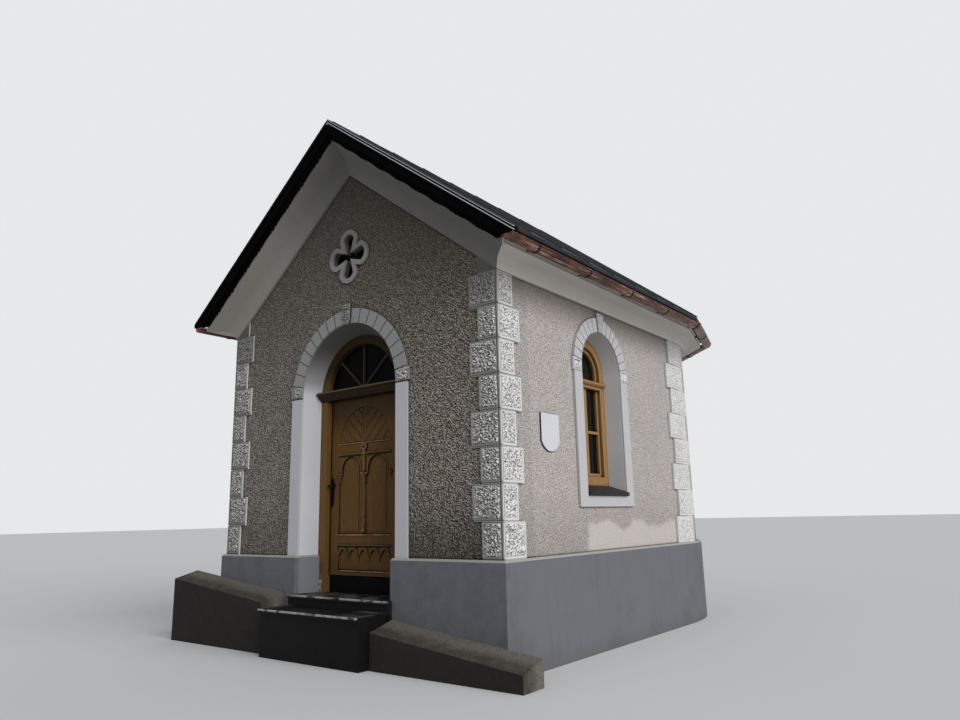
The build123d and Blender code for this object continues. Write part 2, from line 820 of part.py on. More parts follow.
def make_handle():
    """Long plate with pointed ends and a lever on both faces of the leaf, near the left edge."""
    half = handle_width / 2
    end = handle_height / 2
    neck = handle_drop
    right = [(half * 0.15, -end), (half * 0.6, -end + 34), (half * 0.45, -end + 52), (half * 0.7, -end + 74),
             (half * 0.7, neck - 50), (half, neck - 26), (half, neck + 26), (half * 0.6, neck + 44),
             (half * 0.45, end - 44), (half * 0.6, end - 30), (half * 0.15, end)]
    left = [(-x, level) for x, level in reversed(right)]
    plate = outline(*right, *left)
    parts = []
    for face_y, out in ((leaf_front, -1), (leaf_back, 1)):
        y_back = face_y if out < 0 else face_y + handle_thickness
        plate_solid = from_front(Pos(handle_x, handle_level - handle_drop) * plate, y_back, handle_thickness)
        tip = face_y + out * lever_reach
        stub = Pos(handle_x, (face_y + tip) / 2, handle_level) * (Rot(90, 0, 0) * Cylinder(10, lever_reach))
        lever = box(handle_x - 14, handle_x + lever_length, tip - 9, tip + 9, handle_level - 12, handle_level + 12)
        lever = fillet(lever.edges().filter_by(Axis.X), 6)
        parts.append(plate_solid + stub + lever)
    return parts


def make_threshold():
    """Dark riser between the posts, and the sill behind it across the wall."""
    riser = box(-leaf_opening, leaf_opening, leaf_front + threshold_setback, frame_back, upper_step_level,
                threshold_top)
    return riser + box(-frame_half, frame_half, frame_back, inner_front, upper_step_level, threshold_top)


# Side windows

def make_window_frame():
    """Arched frame, cross rail with cornice, sash and glazing bars of one window."""
    bottom = window_bottom + sill_fall
    outer = window_arch(sash_half, bottom, window_y)
    hole = window_arch(sash_half - window_stile, bottom + window_stile, window_y)
    frame = from_side(outer, sash_front - sash_depth, sash_depth)
    frame -= from_side(hole, sash_front - sash_depth - 1, sash_depth + 2)
    sash_back = sash_front - sash_depth
    inner_hole = window_arch(sash_half - window_stile - sash_width, bottom + window_stile + sash_width, window_y)
    sash = from_side(hole, sash_back, sash_depth * 0.5) - from_side(inner_hole, sash_back - 1, sash_depth)
    frame += sash
    span = sash_half - window_stile / 2
    rail = box(sash_back, sash_front, window_y - span, window_y + span, window_rail_level - window_rail / 2,
               window_rail_level + window_rail / 2)
    lip = box(sash_front - 2, sash_front + 34, window_y - sash_half + 2, window_y + sash_half - 2,
              window_rail_level + window_rail / 2 - 44, window_rail_level + window_rail / 2)
    lip = chamfer(lip.edges().filter_by(Axis.Y).sort_by(Axis.X)[-1], 20)
    frame += rail + lip
    # Meeting stile in the middle of the lower light and one cross bar at its half height
    opening = from_side(hole, sash_back, sash_depth * 0.5)
    bars = box(sash_back, sash_back + sash_depth * 0.5, window_y - 30, window_y + 30, bottom, window_rail_level)
    level = (bottom + window_stile + window_rail_level - window_rail / 2) / 2
    bars += box(sash_back + 8, sash_back + sash_depth * 0.5, window_y - sash_half, window_y + sash_half,
                level - glazing_bar / 2, level + glazing_bar / 2)
    bars &= opening
    return frame + bars


def make_window_glass():
    bottom = window_bottom + sill_fall
    inner_hole = window_arch(sash_half - window_stile - sash_width, bottom + window_stile + sash_width, window_y)
    return from_side(inner_hole, sash_front - sash_depth - glass_thickness, glass_thickness)


def make_window_sill():
    """Sloping stone sill that runs from the frame out over the surround."""
    high = window_bottom + sill_fall
    low = window_bottom + 42
    x_in = sash_front - sash_depth
    x_out = outer_half + sill_nosing
    section = outline((x_in, window_bottom), (x_in, high), (sash_front, high), (x_out, low),
                      (x_out, low - sill_thickness), (outer_half, low - sill_thickness), (outer_half, window_bottom))
    sill = from_front(section, window_y + window_half, 2 * window_half)
    outside = box(outer_half, x_out + 1, window_y - window_half, window_y + window_half, 0, tall)
    return sill & (window_cutter() + outside)


# Coved soffit

def cove_points(start):
    """Eave soffit outline from the wall outwards, in distance and level."""
    foot = start + cove_lip
    return foot, foot + cove_radius, start + cove_lip + side_overhang


def side_soffit_face():
    foot, turn, end = cove_points(outer_half)
    centre_drop = cove_radius * sin(radians(45))
    return make_face([
        Line((half_width, eave_level), (foot, eave_level)),
        ThreePointArc((foot, eave_level), (turn - centre_drop, eave_level + centre_drop),
                      (turn, eave_level + cove_radius)),
        Line((turn, eave_level + cove_radius), (end, eave_level + cove_radius)),
        Line((end, eave_level + cove_radius), (end, tall)),
        Line((end, tall), (half_width, tall)),
        Line((half_width, tall), (half_width, eave_level)),
    ])


def corner_wedge():
    """The part of the front right corner that belongs to the side soffit, split on the mitre."""
    corner = outer_half + cove_lip
    reach = 2 * verge_overhang
    y = front_face - cove_lip
    face = outline((0, y + corner), (corner, y), (corner + reach, y - reach), (corner + reach, tall), (0, tall))
    return extrude(face, tall)


def make_side_soffit():
    run = from_front(side_soffit_face(), 0, -board_back)
    return run & corner_wedge() & under_nave_roof(board_back, 0)


def make_front_soffit():
    """Soffit under the verge: the eave cove sheared up the slope, so that the two meet on the mitre."""
    y = front_face - cove_lip
    reach = y - board_back
    top = rake(0)
    count = 8
    points = [(y, top)]
    for index in range(1, count + 1):
        turn = radians(90.0 * index / count)
        distance = cove_radius * (1 - cos(turn))
        points.append((y - distance, top + cove_radius * sin(turn) + distance * slope))
    points.append((y - reach, top + cove_radius + reach * slope))
    points.append((y - reach, tall))
    points.append((front, tall))
    points.append((front, top))
    face = Plane.YZ * outline(*points)
    length = 2 * half_width / cos(radians(roof_pitch))
    run = extrude(face, length, dir=(cos(radians(roof_pitch)), 0, -sin(radians(roof_pitch))))
    right = (run - corner_wedge()) & under_nave_roof(board_back, front)
    return both(right)


def make_apse_soffit():
    ring = revolve(Plane.XZ * side_soffit_face(), Axis.Z, 180)
    return ring & apse_cover


# Roof

def roof_section():
    lean = sin(radians(roof_pitch)) * deck_thickness
    fall = cos(radians(roof_pitch)) * deck_thickness
    return outline(
        (0, roof_top(0)),
        (roof_edge, roof_top(roof_edge)),
        (roof_edge - lean, roof_top(roof_edge) - fall),
        (fascia_half, roof_top(fascia_half) - deck_lift),
        (fascia_half, roof_underside(fascia_half)),
        (0, roof_underside(0)),
    )


def make_roof():
    right = from_front(roof_section(), 0, -board_back)
    return right, facet_ring(at_chord(roof_section()))


def lobe_edges(start, level):
    """One pattern of the lower edge: a wide lobe between two narrower ones, then four small ones."""
    edges = []
    for share, depth in ((0.15, 0.9), (0.24, 1.0), (0.15, 0.9), (0.115, 0.75), (0.115, 0.7), (0.115, 0.7),
                         (0.115, 0.75)):
        end = start + share * lobe_period
        low = level - depth * lobe_depth
        near = start + lobe_nick
        far = end - lobe_nick
        side = max(low + 0.45 * (far - near), low + 5)
        side = min(side, level - 2)
        edges.append(Line((start, level), (near, side)))
        edges.append(ThreePointArc((near, side), ((start + end) / 2, low), (far, side)))
        edges.append(Line((far, side), (end, level)))
        start = end
    return edges


def make_bargeboard():
    """Right verge: a plain fascia board in front and a lobed board behind it, drawn along the slope."""
    lean = cos(radians(roof_pitch))
    count = ceil((fascia_half + 2 * gutter_radius) / lean / lobe_period)
    length = count * lobe_period
    cusps = lobe_depth - board_drop * lean
    edges = []
    for index in range(count):
        edges += lobe_edges(index * lobe_period, cusps)
    edges += [Line((length, cusps), (length, 0)), Line((length, 0), (-board_drop, 0)),
              Line((-board_drop, 0), (-board_drop, cusps)), Line((-board_drop, cusps), (0, cusps))]
    lobed = make_face(edges)
    low = -fascia_drop * lean
    plain = outline((-board_drop, low), (length, low), (length, 0), (-board_drop, 0))
    level = rake(0) + roof_over_rake - trim_height
    foot = gutter_level + 10
    place = Pos(0, level) * Rot(0, 0, -roof_pitch)
    parting = board_front + fascia_thickness
    fascia = from_front(place * plain, parting, fascia_thickness)
    boards = fascia + from_front(place * lobed, board_back, board_back - parting)
    return boards & box(0, tall, board_front - 1, board_back + 1, foot, tall)


def make_trims():
    """Folded metal verge strip on the bargeboards and the cap along the ridge."""
    y = board_back
    bottom = rake(0) + roof_over_rake - trim_height
    top = rake(0) + roof_over_rake + 4
    section = outline(
        (y, bottom), (board_front - trim_reach + 6, bottom), (board_front - trim_reach - 4, bottom - 4),
        (board_front - trim_reach - 4, bottom + 5), (board_front - trim_reach, bottom + 8),
        (board_front - trim_reach, top), (y, top),
    )
    length = 2 * half_width / cos(radians(roof_pitch))
    run = extrude(Plane.YZ * section, length, dir=(cos(radians(roof_pitch)), 0, -sin(radians(roof_pitch))))
    verge = both(run & box(0, roof_edge + 50, board_front - 100, 0, 0, tall))
    over = ridge_cap_thickness / cos(radians(roof_pitch))
    half = ridge_cap_width
    cap_face = outline((0, roof_top(0)), (half, roof_top(half)), (half, roof_top(half) + over * 0.6),
                       (0, roof_top(0) + over), (-half, roof_top(half) + over * 0.6), (-half, roof_top(half)))
    cap = from_front(cap_face, 0, -board_back)
    return verge, cap


# Gutter

def gutter_section():
    """Half-round channel with a rolled bead on its outer edge, in distance from its centre and level."""
    channel = Circle(gutter_radius) - Circle(gutter_radius - gutter_wall)
    channel = channel & Pos(0, -gutter_radius) * Rectangle(4 * gutter_radius, 2 * gutter_radius)
    return channel + Pos(gutter_radius - gutter_wall / 2, 0) * Circle(bead_radius)


def make_gutters():
    side = from_front(Pos(gutter_centre, gutter_level) * gutter_section(), 0, -board_front)
    cap = Circle(gutter_radius) & Pos(0, -gutter_radius) * Rectangle(4 * gutter_radius, 2 * gutter_radius)
    side += from_front(Pos(gutter_centre, gutter_level) * cap, board_front + gutter_wall, gutter_wall)
    apse = facet_ring(Pos(chord_centre, gutter_level) * gutter_section())
    return side, apse


def bracket():
    """A flat hoop under the channel with a strap back to the fascia, round the gutter's centre."""
    inner_radius = gutter_radius + close_fit
    hoop = Circle(inner_radius + bracket_thickness) - Circle(inner_radius)
    hoop = hoop & Pos(0, -gutter_radius - bead_radius - 1) * Rectangle(4 * gutter_radius, 2 * gutter_radius)
    inner = Pos(-gutter_radius - gutter_gap / 2, -20) * Rectangle(gutter_gap, 24)
    return hoop + (inner - Circle(inner_radius))


def make_brackets():
    shape = extrude(Plane.XZ * bracket(), bracket_width / 2, both=True)
    solids = []
    count = int((-board_front - bracket_start) // bracket_pitch) + 1
    for index in range(count):
        y = board_front + bracket_start + index * bracket_pitch
        one = Pos(gutter_centre, y, gutter_level) * shape
        solids += [one, other_side(one)]
    for index in range(apse_facets):
        middle = (index + 0.5) * facet_angle
        solids.append(Rot(0, 0, middle) * (Pos(chord_centre, 0, gutter_level) * shape))
    return solids


# Wall plaque

def make_plaque():
    """Blank shield with a rounded lower edge on the right side wall."""
    y = front_face + plaque_centre
    half = plaque_width / 2
    low = plaque_top - plaque_height
    face = make_face([
        Line((y - half, plaque_top), (y + half, plaque_top)),
        Line((y + half, plaque_top), (y + half, low + 100)),
        ThreePointArc((y + half, low + 100), (y, low), (y - half, low + 100)),
        Line((y - half, low + 100), (y - half, plaque_top)),
    ])
    return chamfer(from_side(face, half_width, plaque_thickness).faces().sort_by(Axis.X)[-1].edges(), 4)


# Build every piece and write it

nodes = {}
nodes["floor_base"], nodes["floor_slab"] = make_floor()
nodes["upper_step"], nodes["lower_step"] = make_steps()
nodes["footing_left"] = make_footing(-outer_half - footing_left_reach, -door_half - footing_gap_left)
nodes["footing_right"] = make_footing(door_half + footing_gap_right, outer_half + footing_right_reach)
nodes["door_threshold"] = make_threshold()

plinth_front, plinth_side, plinth_apse = make_plinths()
nodes["plinth_front_right"] = plinth_front
nodes["plinth_front_left"] = other_side(plinth_front)
nodes["plinth_side_right"] = plinth_side
nodes["plinth_side_left"] = other_side(plinth_side)
nodes["plinth_apse"] = plinth_apse

wall_front, gable, wall_side, apse_walls = make_walls()
nodes["front_wall_right"] = wall_front
nodes["front_wall_left"] = other_side(wall_front)
nodes["front_gable"] = gable
nodes["side_wall_right"] = wall_side
nodes["side_wall_left"] = other_side(wall_side)
for number, segment in enumerate(apse_walls, start=1):
    nodes[f"apse_wall_{number}"] = segment

front_quoins = make_front_quoins()
rear_quoins = make_rear_quoins()
nodes["quoins_front_right"] = front_quoins
nodes["quoins_front_left"] = other_side(front_quoins)
nodes["quoins_rear_right"] = rear_quoins
nodes["quoins_rear_left"] = other_side(rear_quoins)

nodes["door_surround"] = make_door_surround()
window_surround = make_window_surround()
nodes["window_surrounds"] = [window_surround, other_side(window_surround)]
nodes["cross_border"], nodes["cross_pane"] = make_cross_parts()

nodes["door_frame"] = make_door_frame()
nodes["fanlight_bars"], nodes["fanlight_glass"] = make_fanlight()
nodes["door_leaf"] = make_leaf()
nodes["door_handle"] = make_handle()
nodes["frame_hinges"], nodes["leaf_hinges"] = make_hinges()

window_frame = make_window_frame()
window_glass = make_window_glass()
window_sill = make_window_sill()
nodes["window_frame_right"] = window_frame
nodes["window_frame_left"] = other_side(window_frame)
nodes["window_glass"] = [window_glass, other_side(window_glass)]
nodes["window_sills"] = [window_sill, other_side(window_sill)]

side_soffit = make_side_soffit()
nodes["soffit_front"] = make_front_soffit()
nodes["soffit_right"] = side_soffit
nodes["soffit_left"] = other_side(side_soffit)
nodes["soffit_apse"] = make_apse_soffit()

roof_right, roof_apse = make_roof()
nodes["roof_right"] = roof_right
nodes["roof_left"] = other_side(roof_right)
nodes["roof_apse"] = roof_apse
nodes["bargeboards"] = both(make_bargeboard())
nodes["verge_trims"], nodes["ridge_cap"] = make_trims()

gutter_side, gutter_apse = make_gutters()
nodes["gutter_right"] = gutter_side
nodes["gutter_left"] = other_side(gutter_side)
nodes["gutter_apse"] = gutter_apse
nodes["gutter_brackets"] = make_brackets()
nodes["wall_plaque"] = make_plaque()

os.makedirs("parts", exist_ok=True)
for name, shape in nodes.items():
    if isinstance(shape, list):
        solids = [solid for piece in shape for solid in piece.solids()]
    else:
        solids = list(shape.solids())
    whole = solids[0] if len(solids) == 1 else Compound(solids)
    export_step(whole, f"parts/{name}.step")
    print(name, len(solids), round(sum(solid.volume for solid in solids) / 1e9, 4))
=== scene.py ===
# %% [markdown]
# A small plastered chapel stands on level ground. Its walls, roof, door and windows come from a CAD
# model, and this notebook gives them their looks: the light and the camera first, then one finish
# after another, then the small pieces that CAD leaves out. The CAD pieces are loaded first, because
# every later piece is placed by them.

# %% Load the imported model
import math

import bpy
from mathutils import Matrix, Vector, noise


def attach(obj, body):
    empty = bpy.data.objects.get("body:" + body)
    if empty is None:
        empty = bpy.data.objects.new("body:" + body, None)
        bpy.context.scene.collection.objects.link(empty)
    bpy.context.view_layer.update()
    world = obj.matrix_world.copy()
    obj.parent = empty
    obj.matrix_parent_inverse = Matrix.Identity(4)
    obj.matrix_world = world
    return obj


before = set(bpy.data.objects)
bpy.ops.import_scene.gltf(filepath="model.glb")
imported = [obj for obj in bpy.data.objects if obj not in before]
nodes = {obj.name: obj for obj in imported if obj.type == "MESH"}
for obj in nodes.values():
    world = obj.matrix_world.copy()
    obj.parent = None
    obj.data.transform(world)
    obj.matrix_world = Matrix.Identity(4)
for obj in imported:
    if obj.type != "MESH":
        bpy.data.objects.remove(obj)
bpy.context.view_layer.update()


# %% [markdown]
# The picture was taken with a wide lens from a little above the foot of the steps, looking up. The
# camera is set by its place, its heading, its tilt and its roll, in metres and degrees, so that the
# corner blocks fall where they do in the picture. A turn is built from three plain axes, because
# that keeps the roll apart from the heading.

# %% Camera
EYE = Vector((6.084, -9.424, 1.387))
HEADING = math.radians(37.836)
TILT = math.radians(12.107)
ROLL = math.radians(-1.235)
LENS = 27.35

ahead = Vector((-math.sin(HEADING) * math.cos(TILT), math.cos(HEADING) * math.cos(TILT), math.sin(TILT)))
level = Vector((math.cos(HEADING), math.sin(HEADING), 0.0))
upright = level.cross(ahead)
right = math.cos(ROLL) * level + math.sin(ROLL) * upright
up = -math.sin(ROLL) * level + math.cos(ROLL) * upright

lens = bpy.data.cameras.new("camera")
lens.lens = LENS
lens.sensor_width = 36.0
camera = bpy.data.objects.new("camera", lens)
bpy.context.collection.objects.link(camera)
camera.matrix_world = Matrix.Translation(EYE) @ Matrix((right, up, -ahead)).transposed().to_4x4()
bpy.context.scene.camera = camera
print("camera looks along", [round(value, 3) for value in ahead])


# %% [markdown]
# Every finish here is a small graph of nodes. Written by hand such a graph hides its idea, so a wire
# of the graph is wrapped in a class with the plain signs of arithmetic. Then "dirt * 0.5 + 0.2" adds
# its own Math nodes, and only the ideas stay in sight.

# %% Wires
class Wire:
    """One output of a node. Arithmetic on it adds Math nodes to the same material."""

    def __init__(self, paint, socket):
        self.paint = paint
        self.socket = socket

    def maths(self, operation, *values):
        return self.paint.add("ShaderNodeMath", {"operation": operation}, dict(enumerate(values)))

    def __add__(self, other):
        return self.maths("ADD", self, other)

    def __radd__(self, other):
        return self.maths("ADD", other, self)

    def __sub__(self, other):
        return self.maths("SUBTRACT", self, other)

    def __rsub__(self, other):
        return self.maths("SUBTRACT", other, self)

    def __mul__(self, other):
        return self.maths("MULTIPLY", self, other)

    def __rmul__(self, other):
        return self.maths("MULTIPLY", other, self)

    def __gt__(self, other):
        return self.maths("GREATER_THAN", self, other)

    def __lt__(self, other):
        return self.maths("LESS_THAN", self, other)

    def size(self):
        return self.maths("ABSOLUTE", self)

    def root(self):
        return self.maths("SQRT", self)

    def most(self, other):
        return self.maths("MAXIMUM", self, other)

    def part(self):
        """What is left of the value after its whole number."""
        return self.maths("FRACT", self)

    def near(self, level, reach):
        """1 where the value is less than reach away from level."""
        return (self - level).size() < reach

    def between(self, low, high):
        return (self > low) * (self < high)

    def step(self, low, high):
        """0 below low, 1 above high and a smooth rise between them."""
        settings = {"interpolation_type": "SMOOTHSTEP"}
        values = {"Value": self, "From Min": low, "From Max": high}
        return self.paint.add("ShaderNodeMapRange", settings, values)


# %% [markdown]
# A paint is one material. All its nodes are added by one method, and the others give names to what that
# method is used for: a noise, a blend of two colours, a bump. Dirt, wear, painted light and painted shade
# are laid on the base tone coat by coat, so cover blends one more colour over what is there.

# %% Paint
class Paint:
    """A material and the few ways in which its nodes are added."""

    def __init__(self, name):
        self.material = bpy.data.materials.new(name)
        self.material.use_nodes = True
        self.tree = self.material.node_tree
        self.shader = self.tree.nodes["Principled BSDF"]
        self.place = self.add("ShaderNodeTexCoord", {}, {}, "Object")

    def add(self, kind, settings, values, output=0):
        """Adds one node, makes its settings, fills its sockets and gives back one of its outputs."""
        node = self.tree.nodes.new(kind)
        for key, value in settings.items():
            if key == "stops":
                self.fill_ramp(node.color_ramp, value)
            else:
                setattr(node, key, value)
        for key, value in values.items():
            self.join(node.inputs[key], value)
        return Wire(self, node.outputs[output])

    def join(self, socket, value):
        if isinstance(value, Wire):
            self.tree.links.new(value.socket, socket)
        else:
            socket.default_value = value

    def fill_ramp(self, ramp, stops):
        while len(ramp.elements) < len(stops):
            ramp.elements.new(0.5)
        for element, (position, colour) in zip(ramp.elements, stops):
            element.position = position
            element.color = (*colour, 1.0)

    def noise(self, scale, detail=3.0, roughness=0.55, place=None):
        values = {"Vector": place or self.place, "Scale": scale, "Detail": detail, "Roughness": roughness}
        return self.add("ShaderNodeTexNoise", {"noise_dimensions": "3D"}, values, "Fac")

    def pebbles(self, scale, feature="F1", place=None):
        values = {"Vector": place or self.place, "Scale": scale}
        return self.add("ShaderNodeTexVoronoi", {"feature": feature}, values, "Distance")

    def moved(self, by):
        return self.add("ShaderNodeVectorMath", {"operation": "ADD"}, {0: self.place, 1: by})

    def lit(self, scale, detail, roughness, toward):
        """Above 0 on the side of each lump that faces the light, below 0 on its far side."""
        shifted = self.moved(toward)
        return self.noise(scale, detail, roughness) - self.noise(scale, detail, roughness, shifted)

    def corner(self, reach, inside=False):
        """1 on open ground and less in a corner, or less beside an edge when it looks inside the solid."""
        settings = {"samples": 8, "inside": inside}
        return self.add("ShaderNodeAmbientOcclusion", settings, {"Distance": reach}, "AO")

    def axes(self):
        """The three coordinates of the place, one wire each."""
        first = self.add("ShaderNodeSeparateXYZ", {}, {"Vector": self.place})
        return [Wire(self, output) for output in first.socket.node.outputs]

    def stretched(self, x, y, z):
        return self.add("ShaderNodeMapping", {}, {"Vector": self.place, "Scale": (x, y, z)})

    def mix(self, factor, first, second):
        """Blends two colours."""
        settings = {"data_type": "RGBA"}
        values = {0: factor, 6: self.colour(first), 7: self.colour(second)}
        return self.add("ShaderNodeMix", settings, values, 2)

    def colour(self, value):
        return value if isinstance(value, Wire) else (*value, 1.0)

    def ramp(self, factor, stops):
        return self.add("ShaderNodeValToRGB", {"stops": stops}, {"Fac": factor})

    def set(self, name, value):
        if name == "Base Color":
            value = self.colour(value)
        self.join(self.shader.inputs[name], value)

    def cover(self, factor, colour):
        """Lays one more colour over the tone that the material has so far."""
        self.tone = self.mix(factor, self.tone, colour)
        self.set("Base Color", self.tone)

    def bump(self, height, depth):
        """Relief of the given depth in metres."""
        values = {"Height": height, "Distance": depth, "Strength": 1.0}
        self.set("Normal", self.add("ShaderNodeBump", {}, values, "Normal"))


# %% [markdown]
# A CAD piece comes with a plain material. Its finish takes the place of that one, and the line that
# is printed tells which pieces share a finish.

# %% Wearing a finish
def wear(paint, *names):
    """Gives CAD pieces their finish."""
    for name in names:
        piece = nodes[name]
        piece.data.materials.clear()
        piece.data.materials.append(paint.material)
    print(paint.material.name, "on", ", ".join(names))


# %% [markdown]
# The light is that of a grey day: a soft pale sky from all sides, and one wide soft sun from the
# right that leaves the door front in shade and the long side bright, as in the picture. A second,
# very weak one from the front keeps the door from going black. The floor is a plain pale sheet, and
# the sky that the camera sees is nearly the same tone.

# %% Light, sky and floor
SKY_LIGHT = 0.42
SKY_SEEN = (0.80, 0.81, 0.82, 1.0)

world = bpy.data.worlds.new("sky")
bpy.context.scene.world = world
world.use_nodes = True
sky = world.node_tree
lit = sky.nodes["Background"]
lit.inputs["Color"].default_value = (0.93, 0.96, 1.0, 1.0)
lit.inputs["Strength"].default_value = SKY_LIGHT
seen = sky.nodes.new("ShaderNodeBackground")
seen.inputs["Color"].default_value = SKY_SEEN
path = sky.nodes.new("ShaderNodeLightPath")
either = sky.nodes.new("ShaderNodeMixShader")
sky.links.new(path.outputs["Is Camera Ray"], either.inputs["Fac"])
sky.links.new(lit.outputs["Background"], either.inputs[1])
sky.links.new(seen.outputs["Background"], either.inputs[2])
sky.links.new(either.outputs["Shader"], sky.nodes["World Output"].inputs["Surface"])


def lamp(name, toward, strength, angle):
    """A soft sun that shines along the given direction."""
    data = bpy.data.lights.new(name, "SUN")
    data.energy = strength
    data.angle = math.radians(angle)
    body = bpy.data.objects.new(name, data)
    body.rotation_euler = Vector(toward).to_track_quat("-Z", "Y").to_euler()
    bpy.context.collection.objects.link(body)


lamp("side_light", (-0.86, 0.16, -0.46), 2.5, 50)
lamp("front_light", (-0.30, 0.90, -0.25), 0.25, 90)

bpy.ops.object.select_all(action="DESELECT")
bpy.ops.mesh.primitive_plane_add(size=300.0, location=(0, 0, 0))
floor = bpy.context.object
floor.name = "studio_floor"
floor_paint = Paint("studio_floor")
floor_paint.set("Base Color", (0.62, 0.62, 0.62))
floor_paint.set("Roughness", 0.9)
floor.data.materials.append(floor_paint.material)
print("light and floor are in place")


# %% [markdown]
# Rough-cast is plaster with gravel, thrown at the wall. Up close it is a field of grains about 10 mm
# wide with dark pits between them. A Voronoi pattern and a coarse noise give the grains, and a finer
# noise the sand. Bump alone looks flat in soft light, so each lump also gets a painted light side and
# a dark one: a noise, less the same noise moved toward the light. A wall is smooth in its openings
# and in the room behind it, and functions of the place say where.

# %% Places on the walls
WALL_FACE = -4.010
INNER_FACE = -3.53
HALF = 2.125
ROOM_HALF = 1.62
EAVE = 3.72
SLOPE = math.tan(math.radians(37.9))
DOOR_HALF = 0.770
DOOR_SPRING = 2.787
WINDOW_HALF = 0.450
WINDOW_SPRING = 3.004
WINDOW_MIDDLE = -2.04
WINDOW_FOOT = 1.575
CROSS_LEVEL = 4.36
CROSS_REACH = 0.28
SKIN = 0.0005


def above_rake(x, z):
    """Height above the line that climbs with the roof from the top of the corner blocks."""
    return z + x.size() * SLOPE - (EAVE + HALF * SLOPE)


def inside_arch(across, up, spring, half):
    """1 within an arched outline of the given half width."""
    rise = (up - spring).most(0.0)
    return (across * across + rise * rise).root() < half


def door_and_room(x, y, z):
    """Where the front wall is smooth: the reveals of its openings, and the wall of the room behind."""
    doorway = inside_arch(x, z, DOOR_SPRING, DOOR_HALF - SKIN)
    room = (y > INNER_FACE) * (x.size() < ROOM_HALF + 0.08)
    cross = (x.size() < CROSS_REACH) * z.near(CROSS_LEVEL, CROSS_REACH) * (y > WALL_FACE + 0.002)
    return doorway.most(room).most(cross)


def window_and_room(x, y, z):
    """Where a side wall is smooth."""
    reveal = inside_arch(y - WINDOW_MIDDLE, z, WINDOW_SPRING, WINDOW_HALF - SKIN) * (z > WINDOW_FOOT)
    return reveal.most(x.size() < ROOM_HALF)


def round_room(x, y, z):
    """Where the wall of the apse is smooth."""
    return (x * x + y * y).root() < ROOM_HALF


print("roof slope:", round(SLOPE, 3))

# %% [markdown]
# A coat is one layer of thrown plaster in three tones set by its painted light: the shaded pits between
# the grains, their body and their lit tips. The long sides are pale, with specks, painted shade under the
# eaves and damp at the foot. The front is dark, mostly as painted shade and partly as dirt, and darker
# still up in the gable, where more shade is painted.

# %% Coats of plaster
SIDE_TONES = ((0.15, 0.135, 0.122), (0.440, 0.400, 0.378), (0.70, 0.655, 0.63))
SHADED_FRONT_TONES = ((0.020, 0.017, 0.013), (0.158, 0.139, 0.116), (0.56, 0.525, 0.47))


def grains(paint):
    """Height of the thrown grains, from 0 in a pit to about 1 on a tip."""
    shaken = paint.moved(paint.noise(18.0, 2.0) * 0.012)
    stones = paint.pebbles(98.0, "SMOOTH_F1", shaken)
    coarse = paint.noise(60.0, 2.0, 0.7).step(0.30, 0.70)
    sand = paint.noise(170.0, 3.0)
    return (1.0 - stones.step(0.0, 0.75)) * 0.42 + coarse * 0.45 + sand * 0.22


def coat(paint, light, damp, tones, calm):
    """Thrown plaster in three tones set by its painted light: the shaded pits, the body and the lit tips
    of its grains.
    """
    pit, grain, tip = tones
    tone = paint.ramp(light, [(0.29, pit), (0.54, grain), (0.84, tip)])
    tone = paint.mix(damp.step(0.45, 0.75) * 0.3, tone, paint.mix(0.5, tone, pit))
    return paint.mix(calm, tone, [part * 0.95 for part in grain])


def side_coat(paint, light, damp, rise, z):
    """The pale coat of the long sides, with specks, painted shade under the eaves and damp at the foot."""
    tone = coat(paint, light, damp, SIDE_TONES, 0.45)
    specks = 1.0 - paint.noise(52.0, 2.0, 0.5).step(0.32, 0.40)
    tone = paint.mix(specks * 0.85, tone, SIDE_TONES[0])
    shade_under_eaves = (z - EAVE).step(-0.45, 0.05) * 0.72
    # One dark colour for the painted shade under the eaves and the damp at the foot
    return paint.mix(shade_under_eaves.most(rise * 0.28), tone, (0.125, 0.110, 0.086))


def shaded_front_coat(paint, light, damp, rise, x, z):
    """The front coat, darker than the sides mostly as painted shade and partly as dirt, browner on its
    right half and with painted shade up in the gable.
    """
    calm = ((z - 3.2).step(0.0, 1.5) * 0.5).most((x < 0.0) * 0.30)
    tone = coat(paint, light, damp, SHADED_FRONT_TONES, calm)
    tone = paint.mix((x > 0.0) * 0.12, tone, (0.13, 0.085, 0.025))
    # Painted shade under the rake and up in the gable, and a darker foot
    shade_under_rake = above_rake(x, z).step(-0.95, 0.05) * 0.25
    gable_shade = (z - 2.3).step(0.0, 3.2) * 0.66
    foot = rise * ((x > 0.0) * 0.32 + 0.26)
    return paint.mix(gable_shade.most(foot).most(shade_under_rake), tone, (0.016, 0.014, 0.011))


print("two coats, a pale and a dark one")

# %% [markdown]
# One recipe makes every rough-cast wall. It lays the coats, adds the mended patch and the dirt in
# the corners, and goes over to smooth plaster in the openings, so that a wall needs one material.

# %% Rough-cast walls
SIDE_FACE = 2.100
PATCH_TOP = 1.62
PATCH_START = -2.75
DAMP_TOP = 1.75
DOOR_REVEAL = (0.56, 0.56, 0.58)
WINDOW_REVEAL = (0.415, 0.408, 0.412)


